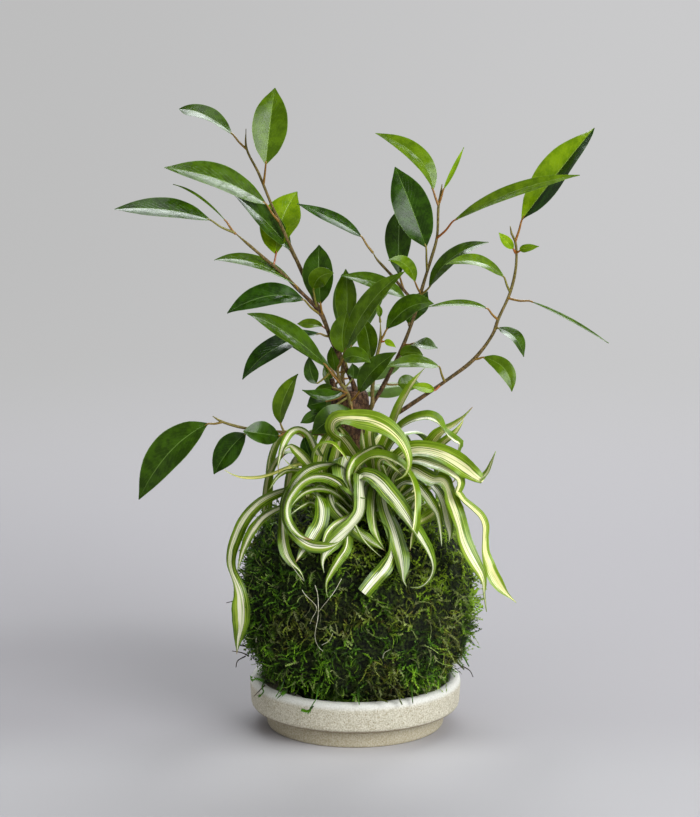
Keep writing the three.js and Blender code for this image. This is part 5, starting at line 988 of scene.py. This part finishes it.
    (3, (-0.3, 0.3, 0.5), [[-30,155,34,1.5], [-36,156.5,38,1.5], [-40,158.2,39,1.5], [-45,163,40,0.8]]),
    (6, (-0.3, 0.3, 0.5), [[14,150,36,5], [16.5,158.5,38,5], [18.5,154.5,41,5], [20,151,42,2]]),
    (5, (-0.3, 0.2, 0.2), [[-20,130,46,3], [-27,135.5,50,3], [-33,133.3,54,3], [-40.5,127.5,58,1]]),
    (9, (-0.5, 0.3, 0.7), [[4,152,24,6], [-1,162,25,7.5], [-4,172,26,7], [-8,180,24,4], [-13,184,20,1]]),
    (8, (-0.2, 0.5, 0.6), [[-12,148,30,6], [-13,158,31,7], [-11,168,30,6], [-10,176,28,4], [-12,182,24,1]]),
    (8, (-0.3, 0.4, 0.5), [[14,152,22,5], [8,164,21,6.5], [5,174,19,6], [4,182,16,2]]),
]
STRAP_SAMPLE = 1.6
STRAP_SPOKES = (-1, -0.8, -0.45, -0.12, 0.12, 0.45, 0.8, 1)
STRAP_FOLD, STRAP_THICKNESS = 0.3, 0.45
TWIST_RATE, MOST_ROLL = 0.09, 1.3
BEND_SHARE, BEND_FLARE = 0.8, 0.45
POINT_LENGTH, TAPER_IN, TAPER_OUT = 14, (-0.2, 0.35), (0.6, 1.12)
DRY_CHANCE, DRY_LENGTH = 0.3, (2, 6)
FRONT_CROWN, BACK_CROWN = (6.5, -25.5, 26, 11), (-4, 30, 20, 9)
ROOT_HEIGHT, ROOT_HIGHEST, ROOT_DROP, ROOT_REACH = 138, 143, 14, 0.8
COVER_RADIUS, COVER_HALF_HEIGHT, OPENING_RADIUS = 72.5, 67, 39
LEAST_CLEARANCE, MOST_CLEARANCE = 3.5, 6
STRAP_GREEN, WARM_GREEN = ((46, 76, 1), (88, 122, 5)), (146, 180, 18)
DARK_LINE, PALE_LINE, STRAP_MATT = (42, 62, 4), (168, 188, 64), (150, 174, 96)
COOL_CREAM, WARM_CREAM, CREAM_LINE = (227, 226, 206), (247, 239, 146), (140, 168, 56)
WITHERED = (150, 116, 70)
COMBED = (16, 1.3, 1)


def smooth(value, low, high):
    t = min(max((value - low) / (high - low), 0), 1)
    return t * t * (3 - 2 * t)


def inside_moss(place, margin):
    away = math.hypot(place.x - BALL_X, place.y)
    height = place.z - BALL_Z
    power = UPPER_POWER if height > 0 else LOWER_POWER
    share = (away / (COVER_RADIUS + margin)) ** power + (abs(height) / (COVER_HALF_HEIGHT + margin)) ** power
    return away > OPENING_RADIUS and share < 1


def root_below(place):
    x, y, wide, deep = FRONT_CROWN
    away = ((place.x - x) / wide, (place.y - y) / deep)
    share = min(1, ROOT_REACH / max(math.hypot(*away), 1e-6))
    rise = min(max(place.z - ROOT_DROP, ROOT_HEIGHT), ROOT_HIGHEST)
    return Vector((x + away[0] * share * wide, y + away[1] * share * deep, rise))


def eased_twist(sides, ways, step):
    """Turns each side little by little along the strap, from the way that the one before it lies."""
    for i in range(1, len(sides)):
        carried = (sides[i - 1] - sides[i - 1].dot(ways[i]) * ways[i]).normalized()
        target = -sides[i] if carried.dot(sides[i]) < 0 else sides[i]
        angle = math.atan2(carried.cross(target).dot(ways[i]), carried.dot(target))
        angle = min(max(angle, -TWIST_RATE * step), TWIST_RATE * step)
        sides[i] = carried * math.cos(angle) + ways[i].cross(carried) * math.sin(angle)


def add_strap(growth, places, widths, width, span, side_of, outward_of, stripe, dry):
    """A limp strap along places, kept clear of the moss and rolled where it is seen too narrow."""
    places, ways, shares, length = path_through(places, STRAP_SAMPLE)
    last = len(places) - 1
    step = length / last
    sides, halves = [], []
    for i, (place, way, share) in enumerate(zip(places, ways, shares)):
        run = i / last
        along = span[0] + (span[1] - span[0]) * run
        tapered = width * min(smooth(along, *TAPER_IN), 1 - smooth(along, *TAPER_OUT))
        seen_wide = float(np.interp(share, np.linspace(0, 1, len(widths)), widths)) if widths else tapered
        full = max(seen_wide, tapered)
        roll = min(math.acos(min(seen_wide / full, 1)), MOST_ROLL)
        margin = min(LEAST_CLEARANCE + math.sin(roll) * full / 2, MOST_CLEARANCE)
        out = outward_of(place)
        while inside_moss(place, margin):
            place = place + out
        places[i] = place
        side = side_of(place, way, run)
        sides.append((side * math.cos(roll) + side.cross(way) * math.sin(roll)).normalized())
        end = (1 - run) * length / POINT_LENGTH if span[1] == 1 else 1
        halves.append(full / 2 * min(1, end ** 0.6 + 0.06))
    eased_twist(sides, ways, step)
    for i in range(1, last):
        bend = abs((ways[i + 1] - ways[i - 1]).dot(sides[i])) / (2 * step)
        halves[i] = min(halves[i], max(BEND_SHARE / max(bend, 1e-6), 0.6))
    for order in (range(1, last + 1), range(last - 1, -1, -1)):
        for i in order:
            halves[i] = min(halves[i], halves[i - order.step] + BEND_FLARE * step)
    stations, withered = [], []
    for i in range(last + 1):
        fold = STRAP_FOLD * smooth(i, 0, 4)
        stations.append((places[i], sides[i], sides[i].cross(ways[i]), halves[i], fold, i * step / 100))
        share = min(1, max(0, (i - last) * step + dry) / 3) if dry else 0
        withered += [share] * 2 * len(STRAP_SPOKES)
    low, high, warm = stripe
    add_blade(growth, stations, STRAP_SPOKES, STRAP_THICKNESS, low=low, high=high, warm=warm, dry=withered)


satin = {"Specular IOR Level": 0.2, "Coat Weight": 0.04, "Coat Roughness": 0.15}
strap_leaf, shader, where = new_finish("striped_strap_leaf", satin)
surface = surface_of(shader)
low, high, warm, dry, below = (labelled(shader, name) for name in ("low", "high", "warm", "dry", "under"))
drift = cloudy(where, 55.0, 1.0)
u = sums("SUBTRACT", times(parts_of(surface)["X"], 2.0), 1.0)
u = sums("ADD", u, eased(drift, 0.3, 0.7, -0.06, 0.06))
fine_lines = cloudy(node("ShaderNodeMapping", {"Vector": surface, "Scale": COMBED}).outputs[0], 1.0, 2.5)
inside = sums("MINIMUM", sums("SUBTRACT", u, low), sums("SUBTRACT", high, u))
band = eased(sums("ADD", inside, eased(fine_lines, 0.35, 0.65, -0.2, 0.13)), -0.03, 0.03)
streak = times(eased(fine_lines, 0.5, 0.57), eased(inside, -0.8, -0.15))
green = mixed(times(warm, 0.7), mottled(where, 90.0, *STRAP_GREEN)["Color"], WARM_GREEN)
green = mixed(eased(fine_lines, 0.46, 0.34, 0.0, 0.6), green, DARK_LINE)
green = mixed(times(streak, 0.8), green, PALE_LINE)
cream = mixed(warm, COOL_CREAM, WARM_CREAM)
cream = mixed(eased(fine_lines, 0.5, 0.38, 0.0, 0.75), cream, CREAM_LINE)
skin = mixed(dry, mixed(band, green, cream), WITHERED)
feed(shader, {"Base Color": mixed(below, skin, mixed(0.12, skin, STRAP_MATT)),
              "Roughness": eased(drift, 0.3, 0.7, 0.3, 0.46)})
bump_up(shader, 0.3, 0.0004, fine_lines)


chance = random.Random(9)
front = Growth("uv", "under", "low", "high", "warm", "dry")
for width, stripe, path, *stretch in STRAPS:
    span = stretch[0] if stretch else (0, 1)
    places, widths = [seen(p[:3]) for p in path], [p[3] for p in path]
    if span[0] == 0:
        places.insert(0, root_below(places[0]))
        widths.insert(0, widths[0] / 2)
    dry = chance.uniform(*DRY_LENGTH) if chance.random() < DRY_CHANCE and span[1] == 1 else 0
    add_strap(front, places, widths, width, span, lambda place, way, run: way.cross(EYE - place).normalized(),
              lambda place: (EYE - place).normalized(), stripe, dry)

# Back spider plant. A second, smaller plant of the same kind is rooted behind the trunk. Its straps
# fan out in a lower and an upper layer, arch over and hang down the back of the ball.
BACK_STRAPS = 12
BACK_FAN = math.radians(118)
BACK_LAYERS = [{"root": 26, "rise": (152, 162, 160, 146), "reach": (40, 46), "hang": (40, 70)},
               {"root": 33, "rise": (152, 170, 171, 154), "reach": (50, 58), "hang": (60, 95)}]
BACK_WIDTH, BACK_DRIFT, BACK_TWIST = (7, 12), (-6, 6), (-0.45, 0.45)
BACK_SPREAD, BACK_WOBBLE, BACK_SEED = 15, 0.06, 7


def seeded(state):
    while True:
        state = state * 16807 % 2147483647
        yield state / 2147483647


def add_back_strap(growth, number, draw):
    def between(pair):
        return pair[0] + (pair[1] - pair[0]) * next(draw)

    layer = BACK_LAYERS[number % 2]
    across = (number + 0.5) / BACK_STRAPS - 0.5
    bearing = math.pi / 2 - BACK_FAN * across + BACK_WOBBLE * (next(draw) - 0.5)
    outward = Vector((math.cos(bearing), math.sin(bearing), 0))
    sideways = Vector((-outward.y, outward.x, 0))
    reach, hang, width = between(layer["reach"]), between(layer["hang"]), between(BACK_WIDTH)
    drift, twist = between(BACK_DRIFT), between(BACK_TWIST)
    collar, upward, level, over = layer["rise"]
    rows = [(0, ROOT_HEIGHT), (4, collar), (0.35 * reach, upward), (0.75 * reach, level), (reach, over),
            (reach + 4, over - hang * 0.55), (reach + 2, over - hang)]
    root = Vector((BACK_CROWN[0] + 2 * BACK_SPREAD * across, layer["root"], 0))
    places = [root + Vector((0, 0, z)) + outward * out + sideways * drift * (i / (len(rows) - 1)) ** 2
              for i, (out, z) in enumerate(rows)]

    def side_of(place, way, run):
        flat = (sideways - sideways.dot(way) * way).normalized()
        return flat * math.cos(twist * run) + flat.cross(way) * math.sin(twist * run)

    centre = 0.3 * (next(draw) - 0.5)
    wide = 0.2 + 0.25 * next(draw)
    stripe = (centre - wide, centre + wide, 0.7 * next(draw))
    add_strap(growth, places, None, width, (0, 1), side_of, lambda place: outward, stripe, 3 * next(draw))


back = Growth("uv", "under", "low", "high", "warm", "dry")
draw = seeded(BACK_SEED)
for number in range(BACK_STRAPS):
    add_back_strap(back, number, draw)

# Leaf bases. Short, steep young leaves and old leaf stumps stand close together on each crown,
# where all the straps of a plant spring from the soil.
TUFT_COUNT, TUFT_SUNK = 46, 4
TUFT_RISE, TUFT_WIDTH, TUFT_LEAN = (9, 20), (5, 8), (9, 7)
TUFT_BAND, TUFT_YELLOW = (-0.35, 0.3), (0.1, 0.6)


def add_tuft(growth, crown, chance):
    x, y, wide, deep = crown
    for _ in range(TUFT_COUNT):
        angle, out = chance.uniform(0, 2 * math.pi), math.sqrt(chance.random())
        foot = Vector((x + wide * out * math.cos(angle), y + deep * out * math.sin(angle), ROOT_HEIGHT - TUFT_SUNK))
        lean = Vector((math.cos(angle) * TUFT_LEAN[0] * out, math.sin(angle) * TUFT_LEAN[1] * out, 0))
        rise = chance.uniform(*TUFT_RISE)
        places = [foot, foot + lean * 0.4 + Vector((0, 0, rise * 0.6)), foot + lean * 1.3 + Vector((0, 0, rise))]
        turn = chance.uniform(0, math.pi)
        level = Vector((math.cos(turn), math.sin(turn), 0))
        stripe = (*TUFT_BAND, chance.uniform(*TUFT_YELLOW))
        add_strap(growth, places, None, chance.uniform(*TUFT_WIDTH), (0, 1),
                  lambda place, way, run: (level - level.dot(way) * way).normalized(),
                  lambda place: Vector((0, 0, 1)), stripe, 0)


add_tuft(front, FRONT_CROWN, chance)
add_tuft(back, BACK_CROWN, chance)
settle(front.made("spider_straps_front", strap_leaf), "strap_leaf", "spider_plant_front")
settle(back.made("spider_straps_back", strap_leaf), "strap_leaf", "spider_plant_back")

# Loose sprigs, dry fibres and roots. Some sprigs have come loose and hang over the saucer's lip.
# A few pale dry grass fibres and dark root ends stick out of the moss.
STRAY_SPRIGS = [
    [[-44,26,48], [-46,20,50], [-49,15,50]], [[-22,25,56], [-23.5,18,62], [-24.4,13.4,64.5], [-29.4,5.3,65]],
    [[-26,9,64.5], [-29,6,66], [-33,6.5,66]], [[2,22,60], [1.6,16,64.5], [2.5,10.3,66.5]],
    [[10,22,59], [14.6,14,64], [20,11.5,66]], [[24,20,58], [27,14,62], [28.9,10.3,63]],
    [[34,24,52], [35.1,17.7,57], [35.7,11,58.5]],
    [[-54,23.5,38], [-58,25,32], [-61.5,26,28], [-64.5,25,27], [-64.4,27.5,25]],
    [[-55.4,25.2,36], [-57.5,21.5,35], [-57,17.5,35], [-60,15,33]], [[-42,19.5,50], [-45,16.8,50], [-48,14,48]],
    [[66,61,10], [70.4,63,10], [78.5,68.6,10]], [[58,41,20], [63,36.3,22], [67.3,32,22]],
    [[62,45,14], [66,41.3,16], [70.4,33.9,16]], [[68,80,4], [73,78,5], [76,82,5]],
    [[69,96,2], [74,98,3], [75.5,94,3]],
]
ROOT_ENDS = [
    [[-66,40,10], [-70,42,12], [-76.5,43.2,12]], [[-66,46,10], [-72,47,12], [-75,51,12]],
    [[-68,40,10], [-73,37,12], [-74,33,12]], [[-68,72,8], [-75,74,8], [-80,73,8]],
    [[-68,86,8], [-74,90,8], [-77,96,8]], [[-66,98,6], [-70,104,6], [-70,109,6]],
    [[-64,108,4], [-69,112,4], [-73,111,4]], [[66,34,10], [71,31,11], [73,27,11]],
    [[-56,22,34], [-60,18,36], [-63,15,36]], [[66,52,8], [71,50,8], [74,47,8]],
]
DRY_FIBRES = [
    [[-40,97,66], [-37.5,93.5,69], [-34,89,71], [-31.5,86.5,72]],
    [[-33,81,71], [-31,78,74], [-24,70,77], [-27,63,76], [-28,60,75]],
    [[-25,84,73], [-23.5,79,76], [-23,66,78], [-25,52,77], [-23,46,75], [-20,43,73]],
    [[-8.5,88,74], [-13,80,77], [-20,71,78], [-23,67,77]], [[-61.6,48.7,34], [-60.7,56.2,36], [-57.9,59.6,38]],
    [[-20.7,46.9,72], [-16.4,49.4,74], [-13.9,54.3,75]], [[17.1,38.8,68], [18,41.9,70], [22.1,44.4,70]],
]
STRAY_STEM, STRAY_LEAFLET, STRAY_PAIRS, STRAY_SHADE = 0.5, 2.8, 11, (0.1, 0.5)
strays = Growth("tip", "shade")
for path in STRAY_SPRIGS:
    places = path_through([seen(p) for p in path], 1.0)[0]
    add_frond(strays, places, STRAY_STEM, STRAY_LEAFLET, STRAY_PAIRS, chance.uniform(*STRAY_SHADE))
settle(strays.made("loose_sprigs", bpy.data.materials["moss_sprigs"]), "moss", "moss_cover")

fibre = plain_finish("dry_grass_fibre", 0.6, 260.0, (176, 174, 142), (224, 222, 198), 0.4, 0.0002)
root = plain_finish("dark_root", 0.8, 600.0, (26, 20, 12), (66, 52, 30), 0.6, 0.0003)
for name, paths, thick, finish, slot in (("dry_fibres", DRY_FIBRES, 0.2, fibre, "thread"),
                                         ("root_ends", ROOT_ENDS, 0.5, root, "bark")):
    growth = Growth("young")
    for path in paths:
        places = path_through([seen(p) for p in path], 1.2)[0]
        points, faces, along = tube(places, [thick * (1 - 0.6 * i / len(places)) for i in range(len(places))], 6)
        growth.add(points, faces, young=along)
    settle(growth.made(name, finish), slot)
